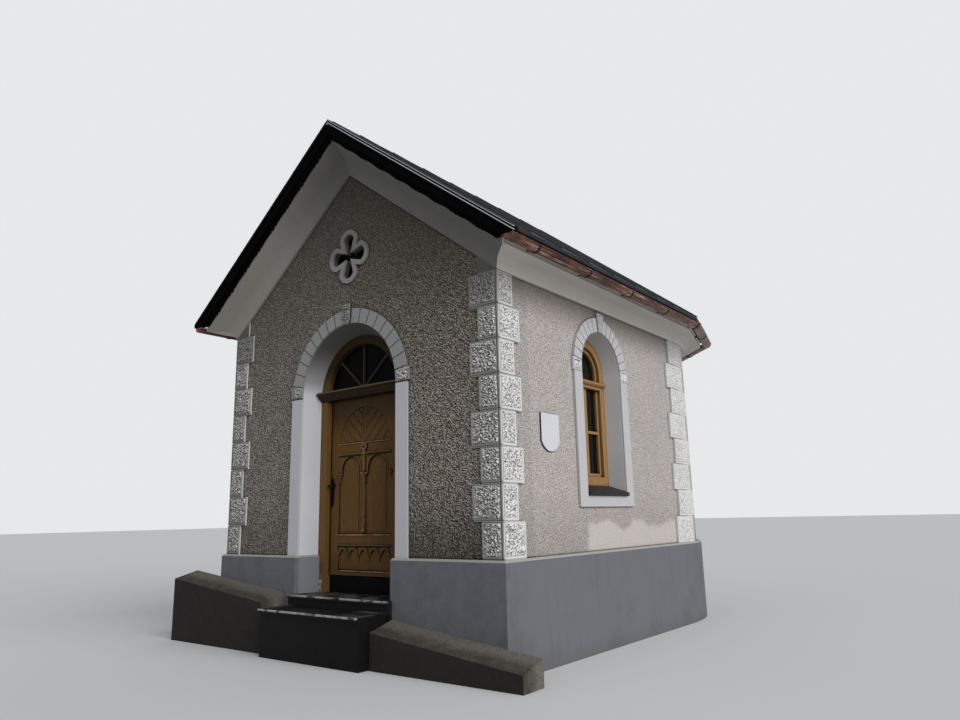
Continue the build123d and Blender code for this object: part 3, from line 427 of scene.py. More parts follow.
def roughcast(name, tones, depth, smooth_part, reveal, patch=0.0):
    """Rough-cast with a smooth part, the reveal of its opening and the walls of the room behind."""
    paint = Paint(name)
    x, y, z = paint.axes()
    height = grains(paint)
    light = height * 0.75 + 0.135 + paint.lit(60.0, 3.0, 0.6, (0.005, -0.002, 0.005)) * 1.5
    damp = paint.noise(0.8, 4.0)
    rise = (DAMP_TOP - z).step(0.0, 0.75)
    tone = side_coat(paint, light, damp, rise, z)
    clean = paint.mix(damp.step(0.4, 0.8) * 0.5, reveal, [part * 0.8 for part in reveal])
    if tones == SHADED_FRONT_TONES:
        # The ends of the front wall show on the long sides, and are as pale as those
        dark = shaded_front_coat(paint, light, damp, rise, x, z)
        tone = paint.mix(x.size() > SIDE_FACE - 0.003, dark, tone)
        # Little light reaches the vault of the doorway
        vault = (z - 2.80).step(0.0, 0.20) * 0.52 + (z - 2.92).step(0.0, 0.45) * 0.42
        clean = paint.mix(vault * (y < INNER_FACE), clean, (0.052, 0.050, 0.043))
    # A mended patch low on the wall is smoother and paler
    edge = paint.noise(1.6, 4.0, 0.6)
    mended = (PATCH_TOP - z - edge * 0.55).step(0.0, 0.10) * (x > 0.0) * patch
    mended = mended * (y - edge * 0.4 - PATCH_START).step(0.0, 0.15)
    tone = paint.mix(mended * 0.65, tone, (0.53, 0.49, 0.465))
    # Painted shade lies where the wall meets a soffit, a block or a band
    corner = (1.0 - paint.corner(0.04)).step(0.20, 0.42) * 0.9
    tone = paint.mix(corner, tone, [part * 0.4 for part in tones[0]])
    flat = smooth_part(x, y, z)
    paint.set("Base Color", paint.mix(flat, tone, clean))
    paint.set("Roughness", damp * 0.1 + 0.88)
    paint.set("Specular IOR Level", 0.2)
    paint.bump(height * (1.0 - flat) * (1.0 - mended * 0.6), depth)
    return paint


front_cast = roughcast("front_roughcast", SHADED_FRONT_TONES, 0.012, door_and_room, DOOR_REVEAL)
side_cast = roughcast("side_roughcast", SIDE_TONES, 0.007, window_and_room, WINDOW_REVEAL, 1.0)
apse_cast = roughcast("apse_roughcast", SIDE_TONES, 0.007, round_room, WINDOW_REVEAL)
wear(front_cast, "front_wall_left", "front_wall_right", "front_gable")
wear(side_cast, "side_wall_left", "side_wall_right")
wear(apse_cast, "apse_wall_1", "apse_wall_2", "apse_wall_3", "apse_wall_4")


# %% [markdown]
# Smooth plaster and paint cover the plinth, the soffits and the bands round the openings. Each is
# one tone with slow clouds of damp, fine trowel marks, and dirt that gathers in streaks.

# %% Smooth plaster on the soffits
def smooth(name, tone, dark, rough=0.75, cloud=1.2, relief=0.0015, streaks=0.3, gloss=0.3):
    """A plain tone with slow clouds of damp and streaks that run down."""
    paint = Paint(name)
    clouds = paint.noise(cloud, 5.0, 0.6)
    drips = paint.noise(2.2, 4.0, 0.6, paint.stretched(6.0, 6.0, 0.7))
    trowel = paint.noise(30.0, 4.0)
    dirt = clouds.step(0.45, 0.8) * 0.45 + drips.step(0.5, 0.8) * streaks
    paint.tone = paint.mix(dirt, tone, dark)
    paint.set("Base Color", paint.tone)
    paint.set("Roughness", clouds * 0.2 + (rough - 0.1))
    paint.set("Specular IOR Level", gloss)
    paint.relief = clouds * 0.5 + trowel * 0.5
    paint.bump(paint.relief, relief)
    return paint


def soffit_plaster(name, tone, dark):
    return smooth(name, tone, dark, 0.7, 0.8, 0.001, 0.1)


side_soffit = soffit_plaster("side_soffit_plaster", (0.53, 0.497, 0.462), (0.42, 0.393, 0.362))
# The front soffit is the side soffits' plaster painted in shade: darker all over, with painted light
# toward its left end and deeper painted shade by the ridge and on its right half
shaded_front_soffit = soffit_plaster("front_soffit_plaster", (0.205, 0.20, 0.185), (0.145, 0.14, 0.125))
x, y, z = shaded_front_soffit.axes()
shaded_front_soffit.cover((0.0 - x).step(0.7, 1.6) * 0.5, (0.27, 0.26, 0.225))
shade_by_ridge = (1.2 - x.size()).step(0.0, 1.0) * (x < 0.0) * 0.55
shaded_front_soffit.cover(((x > 0.0) * 0.40).most(shade_by_ridge), (0.040, 0.038, 0.033))
wear(side_soffit, "soffit_left", "soffit_right", "soffit_apse")
wear(shaded_front_soffit, "soffit_front")

# %% [markdown]
# The bands end in arches of stones. Their joints fan out from the middle of the arch, so they are
# drawn by angle: the angle is counted in stones, from half a stone below the lowest joint, and at
# every joint its part after the whole number is a half.

# %% Bands round the openings
IMPOST = 0.144
KEY_FOOT = DOOR_SPRING + DOOR_HALF + 0.008
KEY_HALF = 0.095
SCORE = 0.0052
# The surround of the door ends below this level, and the border of the cross starts above it
CROSS_FOOT = 4.0
LIGHT_SHIFT = (0.006, -0.0025, 0.006)


def scores(across, up, first, pitch):
    """1 on the joints of an arch. The lowest is at the angle first, and a stone takes the angle pitch."""
    turn = up.maths("ARCTAN2", up, across.size()) * math.degrees(1.0)
    share = (turn - (first - pitch / 2)) * (1.0 / pitch)
    near = (share.part() - 0.5).size() * math.radians(pitch)
    reach = (across * across + up * up).root()
    return (near * reach < SCORE) * (turn > first - 1.0)


trim_paint = smooth("trim_plaster", (0.47, 0.475, 0.50), (0.37, 0.375, 0.395), 0.7, 1.0, 0.001, 0.15)
x, y, z = trim_paint.axes()
on_front = y < WALL_FACE + 0.010
on_band = y < WALL_FACE - 0.010
on_side = x.size() > SIDE_FACE + 0.010
# Painted shade on the front of the bands above the springing of the door arch, deeper toward the upper
# arms of the cross
trim_paint.cover(on_front * (z > DOOR_SPRING) * 0.60, (0.130, 0.124, 0.104))
cross_shade = ((z - (CROSS_LEVEL - 0.08)).step(0.0, 0.14) * 0.38 + 0.22) * (z > CROSS_FOOT)
trim_paint.cover(on_front * cross_shade, (0.10, 0.092, 0.074))
chipped = trim_paint.noise(34.0, 4.0, 0.7).step(0.54, 0.64) * ((z > WINDOW_SPRING) * 0.30 + 0.08)
trim_paint.cover(on_side * 0.5, (0.42, 0.405, 0.40))
trim_paint.cover(on_side * chipped, (0.16, 0.155, 0.15))
# The imposts and the keystone are cast with a rough face, and each knob on it gets a painted light side
# and a painted dark side
knobs = trim_paint.lit(50.0, 3.0, 0.6, LIGHT_SHIFT)
impost = z.between(DOOR_SPRING, DOOR_SPRING + IMPOST) * (x.size() > DOOR_HALF + 0.005)
cast = impost.most(z.between(KEY_FOOT, CROSS_FOOT) * (x.size() < KEY_HALF)) * on_band
trim_paint.cover(cast * knobs.step(0.0, 0.05) * 0.6, (0.42, 0.41, 0.38))
trim_paint.cover(cast * (0.0 - knobs).step(0.0, 0.05) * 0.7, (0.03, 0.03, 0.028))
# Dark lines: the joints of both arches and the bed under the imposts of the door
door_lines = scores(x, z - DOOR_SPRING, 9.65, 9.4875) * on_band * z.between(DOOR_SPRING + 0.06, CROSS_FOOT)
window_lines = scores(y - WINDOW_MIDDLE, z - WINDOW_SPRING, 7.75, 10.81) * on_side
window_lines = window_lines * (z > WINDOW_SPRING + 0.03) * (1.0 - on_front) * 0.6
bed = z.near(DOOR_SPRING - 0.006, 0.010) * on_front
trim_paint.cover((door_lines + window_lines).most(bed) * 0.9, (0.02, 0.02, 0.02))
wear(trim_paint, "door_surround", "window_surrounds", "cross_border")

# %% [markdown]
# The plinth is trowelled cement, darker than the wall. Its top is a pale ledge that sheds the rain,
# and mud has splashed up at its foot. Inside the doorway it is paler.

# %% Plinth and floor
PLINTH = 1.0
CHAMFER = 0.0195
FRONT = -4.035

floor_stone = smooth("floor_stone", (0.30, 0.29, 0.28), (0.20, 0.19, 0.18), 0.8)
plinth_paint = smooth("plinth_render", (0.126, 0.130, 0.145), (0.072, 0.074, 0.080), 0.7, 1.6, 0.004)
x, y, z = plinth_paint.axes()
swirls = plinth_paint.noise(7.0, 4.0, 0.65).step(0.42, 0.66) * 0.35
plinth_paint.cover(swirls * (y < WALL_FACE + 0.010), (0.078, 0.079, 0.085))
plinth_paint.cover((z > PLINTH - CHAMFER) * 0.85, (0.36, 0.345, 0.32))
reveal = (x.size() < DOOR_HALF - 0.008) * (y > FRONT + 0.005)
plinth_paint.cover(reveal * 0.6, (0.20, 0.205, 0.23))
splash = (plinth_paint.noise(3.0, 4.0) * 0.35 - z + 0.05).step(0.0, 0.3)
plinth_paint.cover(splash * 0.5, (0.085, 0.078, 0.068))
wear(plinth_paint, *[name for name in nodes if name.startswith("plinth")])
wear(floor_stone, "floor_base", "floor_slab")


# %% [markdown]
# The corner blocks are cast in one go with smooth margins. A groove follows the corner on both faces,
# about 20 mm from it. It is too fine for the CAD model, so it is drawn by place: a narrow dark line where
# the distance from the corner is right. The joints between the blocks are dark lines too, and painted
# shade makes a block darkest just over its lower joint.

# %% Lines of the corner blocks
BLOCK = 0.34
JOINT = 0.0105
BLOCK_TONE = (0.60, 0.595, 0.58)

quoin_paint = smooth("quoin_plaster", BLOCK_TONE, (0.40, 0.39, 0.375), 0.85, 2.5, 0.003, 0.35)
x, y, z = quoin_paint.axes()
face = y < FRONT + 0.005
front_groove = face * x.size().near(HALF - 0.021, 0.006)
side_groove = (x.size() > HALF - 0.004) * y.near(FRONT + 0.022, 0.0035)
groove = front_groove.most(side_groove)
share = ((z - PLINTH) * (1.0 / BLOCK)).part()
joint = (share - 0.5).size() > 0.5 - JOINT / BLOCK
joint = joint * (face * 0.95).most((x.size() > HALF - 0.006) * 0.45)
# Painted shade over the lower joint of each front block
shade_at_foot = (0.16 - share).step(0.0, 0.16) * face * (z < EAVE) * 0.55
print("a block is", BLOCK, "m high")

# %% [markdown]
# The worm-eaten centres are pieces of their own, made further down. They carry a number called hollow at
# each point, which says how deep in a pit it lies. Painted shade fills the furrows, and the ridges get the
# same painted light and dark sides as the rough-cast.

# %% Worm-eaten tones
hollow = quoin_paint.add("ShaderNodeAttribute", {"attribute_name": "hollow"}, {}, "Fac")
grit = quoin_paint.noise(120.0, 3.0)
rough = hollow > 0.05
tilt = quoin_paint.lit(50.0, 3.0, 0.6, LIGHT_SHIFT)
sunny = tilt.step(0.004, 0.055) * rough * (face * 0.55 + 0.35)
eaten = (y < -2.0) * 0.40 + 0.45
shaded_sides = (0.0 - tilt).step(0.034 - face * 0.026, 0.068) * rough * (face * 0.95).most(eaten)
# Painted shade in the furrows
furrows = (hollow + grit * 0.3 - 0.15).step(0.35, 0.95) * rough * (eaten - face * 0.35)
# Painted shade under the eaves
eave_shade_on_blocks = (z - (EAVE - 0.46)).step(0.0, 0.30) * (face * 0.22 + 0.34)
stump = face * (z > EAVE + 0.002) * (x.size() > 1.5)

# The front faces are painted in shade, darker than the sides
quoin_paint.cover(face * (rough * 0.05 + 0.72), (0.26, 0.254, 0.236))
quoin_paint.cover(sunny, (0.88, 0.87, 0.83))
quoin_paint.cover(groove.most(joint) * 0.9, (0.016, 0.016, 0.015))
quoin_paint.cover(shaded_sides.most(furrows), (0.036, 0.034, 0.030))
quoin_paint.cover(shade_at_foot, (0.05, 0.048, 0.044))
quoin_paint.cover(eave_shade_on_blocks, (0.10, 0.098, 0.082))
quoin_paint.cover(stump * 0.85, (0.085, 0.083, 0.076))
# Painted shade, deeper on the left front corner
quoin_paint.cover(face * (x < 0.0) * 0.20, (0.05, 0.049, 0.046))
quoin_paint.bump(quoin_paint.relief * 0.3 + grit * 0.2 - groove, 0.004)
wear(quoin_paint, *[name for name in nodes if name.startswith("quoins")])


# %% [markdown]
# The door and the windows are varnished wood. Grain runs along each board, so the noise is drawn out along
# the height, and along the width for the boards of the verge. The sashes get painted highlights at their
# edges and painted shade in their corners.

# %% Varnished wood
def wood(name, light, dark, along=(9.0, 9.0, 0.55), rough=0.5, gloss=0.1):
    """Wood with its grain drawn out along one axis, the one with the small number."""
    paint = Paint(name)
    grain = paint.noise(14.0, 6.0, 0.62, paint.stretched(*along))
    fine = paint.noise(60.0, 3.0, 0.5, paint.stretched(*along))
    paint.tone = paint.mix(grain.step(0.3, 0.72) * 0.8 + fine * 0.2, dark, light)
    paint.set("Base Color", paint.tone)
    paint.set("Roughness", fine * 0.2 + (rough - 0.1))
    paint.set("Specular IOR Level", gloss)
    paint.bump(grain * 0.6 + fine * 0.4, 0.0008)
    return paint


# The fanlight bars are the wood of the frame painted in deep shade
shaded_bar_wood = wood("shaded_bar_wood", (0.042, 0.034, 0.024), (0.024, 0.019, 0.013))
flower_wood = wood("flower_wood", (0.190, 0.120, 0.045), (0.110, 0.066, 0.022))
window_wood = wood("window_wood", (0.35, 0.205, 0.080), (0.22, 0.122, 0.045))
sash_highlight = (1.0 - window_wood.corner(0.010, inside=True)).step(0.20, 0.70) * 0.30
window_wood.cover(sash_highlight, (0.62, 0.47, 0.33))
# Painted shade in the corners of the sashes
window_wood.cover((1.0 - window_wood.corner(0.06)).step(0.18, 0.50) * 0.85, (0.050, 0.022, 0.008))
board_grain = (0.6, 9.0, 9.0)
dark_board = wood("dark_board", (0.003, 0.003, 0.0028), (0.0015, 0.0015, 0.0015), board_grain, 0.8, 0.02)
wear(shaded_bar_wood, "fanlight_bars")
wear(window_wood, "window_frame_left", "window_frame_right")
wear(dark_board, "bargeboards")

# %% [markdown]
# The edges of the mouldings are pale, partly where the varnish has worn off and partly as painted
# highlight, and the proud carving gets painted highlights too. Painted shade lies in the corners. Ambient
# occlusion finds both: it looks out of the solid for corners, and into it for edges. So the paint follows
# the carving without being drawn.

# %% Door leaf
LEAF_FACE = -3.740
WORN_AND_LIT_LEDGES = {1.217: 0.75, 0.828: 0.6, 2.232: 0.3}
SHAFT_FOOT = 1.23
SHAFT_TOP = 2.10
FRIEZE_TOP = 1.09
PANEL_HALF = 0.418

leaf_wood = wood("leaf_wood", (0.138, 0.073, 0.0210), (0.092, 0.048, 0.0140))
x, y, z = leaf_wood.axes()
ledges = [z.near(level, 0.0065) * strength for level, strength in WORN_AND_LIT_LEDGES.items()]
rubbed = leaf_wood.noise(9.0, 3.0).step(0.32, 0.55)
wear_and_highlight = ledges[0].most(ledges[1]).most(ledges[2]) * (y < LEAF_FACE - 0.004) * rubbed
edge_wear_and_highlight = (1.0 - leaf_wood.corner(0.010, inside=True)).step(0.20, 0.62) * (y < LEAF_FACE + 0.010) * 0.52
ornament = ((x.size() < 0.07) * (z > 1.24)).most(z < 1.08)
carving_highlight = (LEAF_FACE - 0.0085 - y).step(0.0, 0.010) * ornament * 0.30
# The round shaft in the middle gets a painted highlight on its left and painted shade on its right
shaft = (x.size() < 0.05) * z.between(SHAFT_FOOT, SHAFT_TOP) * (y < LEAF_FACE - 0.002)
wear_and_highlight = wear_and_highlight.most(shaft * x.near(-0.012, 0.009) * 0.45).most(edge_wear_and_highlight).most(carving_highlight)
# Painted shade lies in the corners and under the rail and the frieze
under_rail = z.near(2.094, 0.011) * (x.size() > 0.045)
soffits = z.near(FRIEZE_TOP, 0.010).most(under_rail) * (x.size() < PANEL_HALF)
corner_shade = (1.0 - leaf_wood.corner(0.045)).step(0.10, 0.38) * (y < LEAF_FACE + 0.014)
corner_shade = corner_shade.most(soffits * 0.9 * (y > LEAF_FACE - 0.030))
corner_shade = corner_shade.most(shaft * x.near(0.023, 0.008) * 0.75)
shadow = ((z - 2.22).step(0.0, 0.42) * 0.70).most((x + 0.12).step(0.0, 0.5) * 0.26)
shadow = shadow.most((1.12 - z).step(0.0, 0.3) * 0.22)
# Pale wood where the varnish is worn, and painted highlights on the ledges, edges and carving
leaf_wood.cover(wear_and_highlight, (0.36, 0.25, 0.14))
# Painted shadow over the top of the leaf, its right side and its foot
leaf_wood.cover(shadow, (0.018, 0.011, 0.004))
# Painted shade in the corners and under the rail and the frieze
leaf_wood.cover(corner_shade * 0.92, (0.006, 0.0035, 0.0015))
wear(leaf_wood, "door_leaf")

# %% [markdown]
# The arch of the frame lies in deep shade, and rain has bleached the foot of its left post. Both
# are laid on by place, and a noise frays the border of the bleached part.

# %% Door frame
CORNICE_FOOT = 2.74
CORNICE_TOP = 2.856
POST_FACE = -3.79

frame_wood = wood("frame_wood", (0.175, 0.097, 0.032), (0.115, 0.060, 0.019))
x, y, z = frame_wood.axes()
left_post = (x < -0.60) * (y < POST_FACE)
bleach = frame_wood.noise(26.0, 3.0).step(0.42, 0.62) * (0.80 - z).step(0.0, 0.12) * left_post
moss = frame_wood.noise(20.0, 3.0).step(0.35, 0.6) * z.near(0.86, 0.05) * (x < -0.57) * (y < POST_FACE)
over_rail = (z > 2.80) * (x + 0.62).step(0.0, 0.5) * 0.92
arch = ((z - 2.80).step(0.0, 0.36) * 0.92).most(over_rail)
cornice = z.between(CORNICE_FOOT, CORNICE_TOP)
cornice_highlight = cornice * (z > CORNICE_TOP - 0.024) * (y < -3.85)
frame_wood.cover(moss * 0.6, (0.045, 0.055, 0.012))
# Painted shade over the arch and the cornice
frame_wood.cover(arch.most(cornice * 0.93), (0.016, 0.010, 0.004))
# A painted highlight along the top edge of the cornice
frame_wood.cover(cornice_highlight * 0.75, (0.105, 0.088, 0.040))
frame_wood.cover(bleach * 0.85, (0.50, 0.48, 0.44))
wear(frame_wood, "door_frame")


# %% [markdown]
# The gutters are copper, gone brown, with painted highlights in bright streaks that run along them. The
# roof sheet is dark and slightly dull, and the handle and the hinges are black iron. One recipe makes them
# all, because they differ only in tone, in polish and in the size of their clouds.

# %% Sheet metal
def sheet_metal(name, tone, dark, metal, rough, scale=3.0, gloss=0.5):
    """Metal in two tones that meet in slow clouds, rougher where the clouds are thick."""
    paint = Paint(name)
    clouds = paint.noise(scale, 5.0, 0.6)
    fine = paint.noise(45.0, 3.0)
    paint.tone = paint.mix(clouds.step(0.35, 0.7), dark, tone)
    paint.set("Base Color", paint.tone)
    paint.set("Metallic", metal)
    paint.set("Roughness", clouds * 0.25 + fine * 0.1 + (rough - 0.15))
    paint.set("Specular IOR Level", gloss)
    paint.bump(clouds, 0.001)
    return paint


copper = sheet_metal("copper", (0.27, 0.115, 0.080), (0.085, 0.037, 0.029), 0.80, 0.34, 4.0)
streak_highlights = copper.noise(4.0, 5.0, 0.65, copper.stretched(18.0, 0.6, 18.0)).step(0.54, 0.64)
tarnish = copper.noise(5.0, 3.0, 0.6, copper.stretched(16.0, 0.35, 16.0)).step(0.47, 0.62)
copper.cover(tarnish * 0.72, (0.045, 0.020, 0.018))
# Painted highlights in streaks along the gutters
copper.cover(streak_highlights * 0.8, (0.66, 0.44, 0.37))
dark_copper = sheet_metal("dark_copper", (0.050, 0.020, 0.014), (0.022, 0.009, 0.007), 0.6, 0.45, 9.0)
roof_sheet = sheet_metal("roof_sheet", (0.060, 0.061, 0.065), (0.036, 0.037, 0.040), 0.3, 0.5, 2.0, 0.3)
black_iron = sheet_metal("black_iron", (0.006, 0.005, 0.0065), (0.003, 0.0025, 0.0035), 0.0,
                         0.6, 20.0, 0.1)
wear(copper, "gutter_left", "gutter_right", "gutter_apse")
wear(dark_copper, "gutter_brackets")
wear(roof_sheet, "roof_left", "roof_right", "roof_apse", "ridge_cap")
wear(black_iron, "door_handle", "frame_hinges", "leaf_hinges")

# %% [markdown]
# The black sheets along the gable have two folds that catch the light. The folds are too fine to model, so
# their highlights are painted as pale lines at their heights above the line of the roof.

# %% Verge sheets
LOWER_FOLD = 0.528
UPPER_FOLD = 0.562

verge_sheet = sheet_metal("verge_sheet", (0.004, 0.004, 0.0045), (0.002, 0.002, 0.002), 0.0,
                          0.6, 4.0, 0.05)
x, y, z = verge_sheet.axes()
above = above_rake(x, z)
fold_highlight = above.near(LOWER_FOLD, 0.006).most(above.near(UPPER_FOLD, 0.005)) * (y < -4.37) * (x > -0.02)
verge_sheet.cover(fold_highlight * 0.8, (0.50, 0.50, 0.52))
wear(verge_sheet, "verge_trims")

# %% [markdown]
# The steps are dark stone. Feet have chipped the brinks pale and left dust on the treads, and the risers
# are painted in shade, nearly black.

# %% Stone steps
UPPER_STEP = 0.595
LOWER_STEP = 0.485
UPPER_NOSE = FRONT - 0.115
LOWER_NOSE = FRONT - 0.500

step_stone = smooth("step_stone", (0.012, 0.0115, 0.011), (0.005, 0.005, 0.005), 0.5, 5.0, 0.003, 0.3, 0.1)
x, y, z = step_stone.axes()
upper_brink = y.near(UPPER_NOSE + 0.008, 0.012) * (z > UPPER_STEP - 0.017)
lower_brink = y.near(LOWER_NOSE + 0.007, 0.012) * z.between(LOWER_STEP - 0.017, LOWER_STEP + 0.005)
chips = step_stone.noise(11.0, 5.0, 0.65).step(0.36, 0.56)
dust = step_stone.noise(3.4, 5.0, 0.68).step(0.42, 0.62)
ends = (x - 0.30).step(0.0, 0.25).most((-0.62 - x).step(0.0, 0.08))
lower = z.between(LOWER_STEP - 0.0015, LOWER_STEP + 0.0025) * (y < UPPER_NOSE + 0.020)
trodden = (z > UPPER_STEP - 0.0015).most(lower * ends)
right_end = (z < LOWER_STEP + 0.0025) * (x > 0.30)
shaded_risers = ((y < UPPER_NOSE - 0.0055) * (z < UPPER_STEP - 0.025)).most(z < LOWER_STEP - 0.015)
step_stone.cover(trodden * dust * (right_end * 0.45 + 0.45), (0.165, 0.162, 0.155))
# Painted shade on the risers
step_stone.cover(shaded_risers * 0.6, (0.002, 0.002, 0.002))
step_stone.cover(upper_brink.most(lower_brink) * chips * 0.80, (0.40, 0.395, 0.38))
wear(step_stone, "upper_step", "lower_step")

# %% [markdown]
# The sloping strips beside the steps are coarse concrete with gravel in it. They are paler beside the
# wall, scraped in patches, and painted in shade on the upright face in front.

# %% Concrete footings
FOOTING_FACE = -4.3735

concrete = smooth("footing_concrete", (0.070, 0.064, 0.052), (0.028, 0.026, 0.021), 0.9,
                  7.0, 0.006, 0.3, 0.2)
x, y, z = concrete.axes()
speckle = concrete.noise(64.0, 3.0).step(0.35, 0.65)
by_wall = (y + 4.25 + concrete.noise(2.6, 4.0) * 0.10).step(0.0, 0.16) * (speckle * 0.45 + 0.40)
flakes = concrete.noise(48.0, 3.0).step(0.40, 0.60) * 0.7 + 0.2
scrapes = concrete.noise(9.0, 5.0, 0.7).step(0.50, 0.60) * flakes
gravel = concrete.pebbles(70.0).step(0.1, 0.5)
concrete.cover(scrapes * 0.5, (0.20, 0.185, 0.155))
concrete.cover(by_wall, (0.26, 0.24, 0.205))
# Painted shade on the upright face in front
concrete.cover((y < FOOTING_FACE) * 0.88, (0.014, 0.012, 0.010))
concrete.cover(gravel * 0.45, (0.02, 0.02, 0.017))
concrete.bump(concrete.relief * 0.6 + gravel * 0.4, 0.008)
wear(concrete, "footing_left", "footing_right")

# %% [markdown]
# Small smooth parts need little: one tone and a hint of cloud. The plaque is pale enamel on its face only,
# and its rim and back are painted in shade.

# %% Sills, threshold and plaque
PLAQUE_FACE = 2.1165

slate = smooth("sill_slate", (0.022, 0.020, 0.022), (0.011, 0.010, 0.011), 0.5, 6.0, 0.002, 0.3, 0.15)
# The threshold is painted near black, as the shade under the door
black_paint = smooth("black_paint", (0.0030, 0.0028, 0.0028), (0.0015, 0.0015, 0.0015), 0.7, gloss=0.08)
plaque_paint = smooth("plaque_enamel", (0.57, 0.565, 0.60), (0.48, 0.475, 0.51), 0.35, 3.0, 0.0003, 0.1)
x, y, z = plaque_paint.axes()
# Painted shade on the rim and the back of the plaque
plaque_paint.cover(x < PLAQUE_FACE, (0.012, 0.012, 0.016))
wear(slate, "window_sills")
wear(black_paint, "door_threshold")
wear(plaque_paint, "wall_plaque")

# %% [markdown]
# The rooms behind the panes are dark, so the glass is nearly black and only mirrors the sky. A
# slow noise in its roughness keeps the mirror from looking perfect.

# %% Glass
def glass(name, tone, scale, uneven, rough, gloss):
    """Dark glass that a slow noise makes slightly uneven."""
    paint = Paint(name)
    paint.set("Base Color", tone)
    paint.set("Roughness", paint.noise(scale, 2.0) * uneven + rough)
    paint.set("Specular IOR Level", gloss)
    return paint


window_glass = glass("window_glass", (0.004, 0.0035, 0.003), 3.0, 0.06, 0.03, 0.16)
black_glass = glass("fanlight_glass", (0.0025, 0.0025, 0.002), 5.0, 0.1, 0.15, 0.03)
wear(window_glass, "window_glass")
wear(black_glass, "fanlight_glass", "cross_pane")


# %% [markdown]
# The centre of each corner block is worm-eaten: short crooked furrows between flat ridges, cut while
# the plaster was soft. One panel is a fine grid whose rim is pushed back into the block. A function
# called spot says where a point of the panel lies on the building, so the same panel can be laid
# flat on a wall, shaped like a keystone or bent round the apse. The noise vector that makes the
# furrows crooked starts from the clock unless it has a seed, so one is set, and every run cuts the
# same furrows.

# %% Worm-eaten panels
CELL = 0.0052
RIM = 0.012
BACK = -0.006
noise.seed_set(3)


def worms(point, dense):
    """Height of the worm-eaten face, 0 in a furrow and 1 on a ridge. dense is how much of it is eaten."""
    shaken = point + noise.noise_vector(point * 26.0) * 0.012
    furrow = abs(noise.noise(shaken * 46.0))
    pit = noise.noise(shaken * 68.0 + Vector((9.0, 4.0, 2.0)))
    eaten = min(1.0, furrow / (0.21 * dense))
    return eaten * min(1.0, max(0.0, (pit + 0.62 - 0.36 * dense) / 0.22))


def panel(name, across, tall, spot, depth, dense=0.5):
    """A worm-eaten panel across by tall metres. spot(u, v, height) gives each of its points a place."""
    bpy.ops.object.select_all(action="DESELECT")
    columns = round(across / CELL)
    rows = round(tall / CELL)
    bpy.ops.mesh.primitive_grid_add(x_subdivisions=columns, y_subdivisions=rows, size=1.0)
    piece = bpy.context.object
    piece.name = name
    bpy.ops.object.mode_set(mode="EDIT")
    bpy.ops.mesh.region_to_loop()
    bpy.ops.mesh.extrude_edges_move(TRANSFORM_OT_translate={"value": (0, 0, -1)})
    bpy.ops.mesh.edge_face_add()
    bpy.ops.object.mode_set(mode="OBJECT")
    hollows = piece.data.attributes.new("hollow", "FLOAT", "POINT")
    for vertex in piece.data.vertices:
        u = (vertex.co.x + 0.5) * across
        v = (vertex.co.y + 0.5) * tall
        if vertex.co.z < -0.5:
            vertex.co = spot(u, v, BACK)
            continue
        edge = min(u, v, across - u, tall - v)
        height = worms(spot(u, v, 0.0), dense)
        rim = min(1.0, edge / RIM)
        vertex.co = spot(u, v, depth * (0.25 + 0.75 * height) * (0.35 + 0.65 * rim))
        # Along the foot of a dense panel hollow is raised, so painted shade lies there too
        shade_at_foot = max(0.0, 1.0 - v / RIM) if dense > 0.7 else 0.0
        hollows.data[vertex.index].value = max(1.0 - height, shade_at_foot, 0.1)
    return piece


print("a panel has a point every", round(CELL * 1000, 1), "mm")

# %% [markdown]
# Panels, and later seams and petals, are made one by one and then joined, because a few large pieces
# are easier to handle than a hundred small ones. The same helper turns all faces outward, gives the
# piece its finish and fixes it to the body that it moves with.

# %% Joining pieces
def join(pieces, name, paint, body="chapel", angle=40):
    """Makes several pieces one, with a finish, and fixes it to its body."""
    bpy.ops.object.select_all(action="DESELECT")
    for piece in pieces:
        piece.select_set(True)
    bpy.context.view_layer.objects.active = pieces[0]
    bpy.ops.object.join()
    whole = bpy.context.object
    whole.name = name
    whole.data.name = name
    bpy.ops.object.mode_set(mode="EDIT")
    bpy.ops.mesh.select_all(action="SELECT")
    bpy.ops.mesh.normals_make_consistent(inside=False)
    bpy.ops.object.mode_set(mode="OBJECT")
    whole.data.materials.clear()
    whole.data.materials.append(paint.material)
    bpy.ops.object.shade_smooth_by_angle(angle=math.radians(angle))
    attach(whole, body)
    print(name, len(whole.data.polygons), "faces")


# %% [markdown]
# Eight blocks stand on the plinth at each front corner. They are wide on one face and narrow on the
# other by turns. Each face gets a panel inside a margin, wider at the foot and beside the corner.
# The panels of the front are deep and dense, and those of the long sides are worn.

# %% Panels of the front corners
SIDES = (("right", 1), ("left", -1))
BLOCKS = 8
NARROW = 0.245
WIDE = 0.350
FOOT_MARGIN = 0.030
HEAD_MARGIN = 0.022
SIDE_MARGIN = 0.022
CORNER_MARGIN = 0.036
PANEL_TALL = BLOCK - FOOT_MARGIN - HEAD_MARGIN
FRONT_DEPTH = 0.015
STONE_DEPTH = 0.009

for side, sign in SIDES:
    stones = []
    for index in range(BLOCKS):
        foot = PLINTH + index * BLOCK + FOOT_MARGIN
        front_width = NARROW if index % 2 == 0 else WIDE
        side_width = WIDE if index % 2 == 0 else NARROW

        def front_spot(u, v, height):
            return Vector((sign * (HALF - front_width + SIDE_MARGIN + u), FRONT - height, foot + v))

        def side_spot(u, v, height):
            return Vector((sign * (HALF + height), FRONT + CORNER_MARGIN + u, foot + v))

        margins = SIDE_MARGIN + CORNER_MARGIN
        stones.append(panel("stone", front_width - margins, PANEL_TALL, front_spot, FRONT_DEPTH, 1.0))
        stones.append(panel("stone", side_width - margins, PANEL_TALL, side_spot, STONE_DEPTH, 0.45))
    join(stones, "quoin_panels_front_" + side, quoin_paint, angle=50)


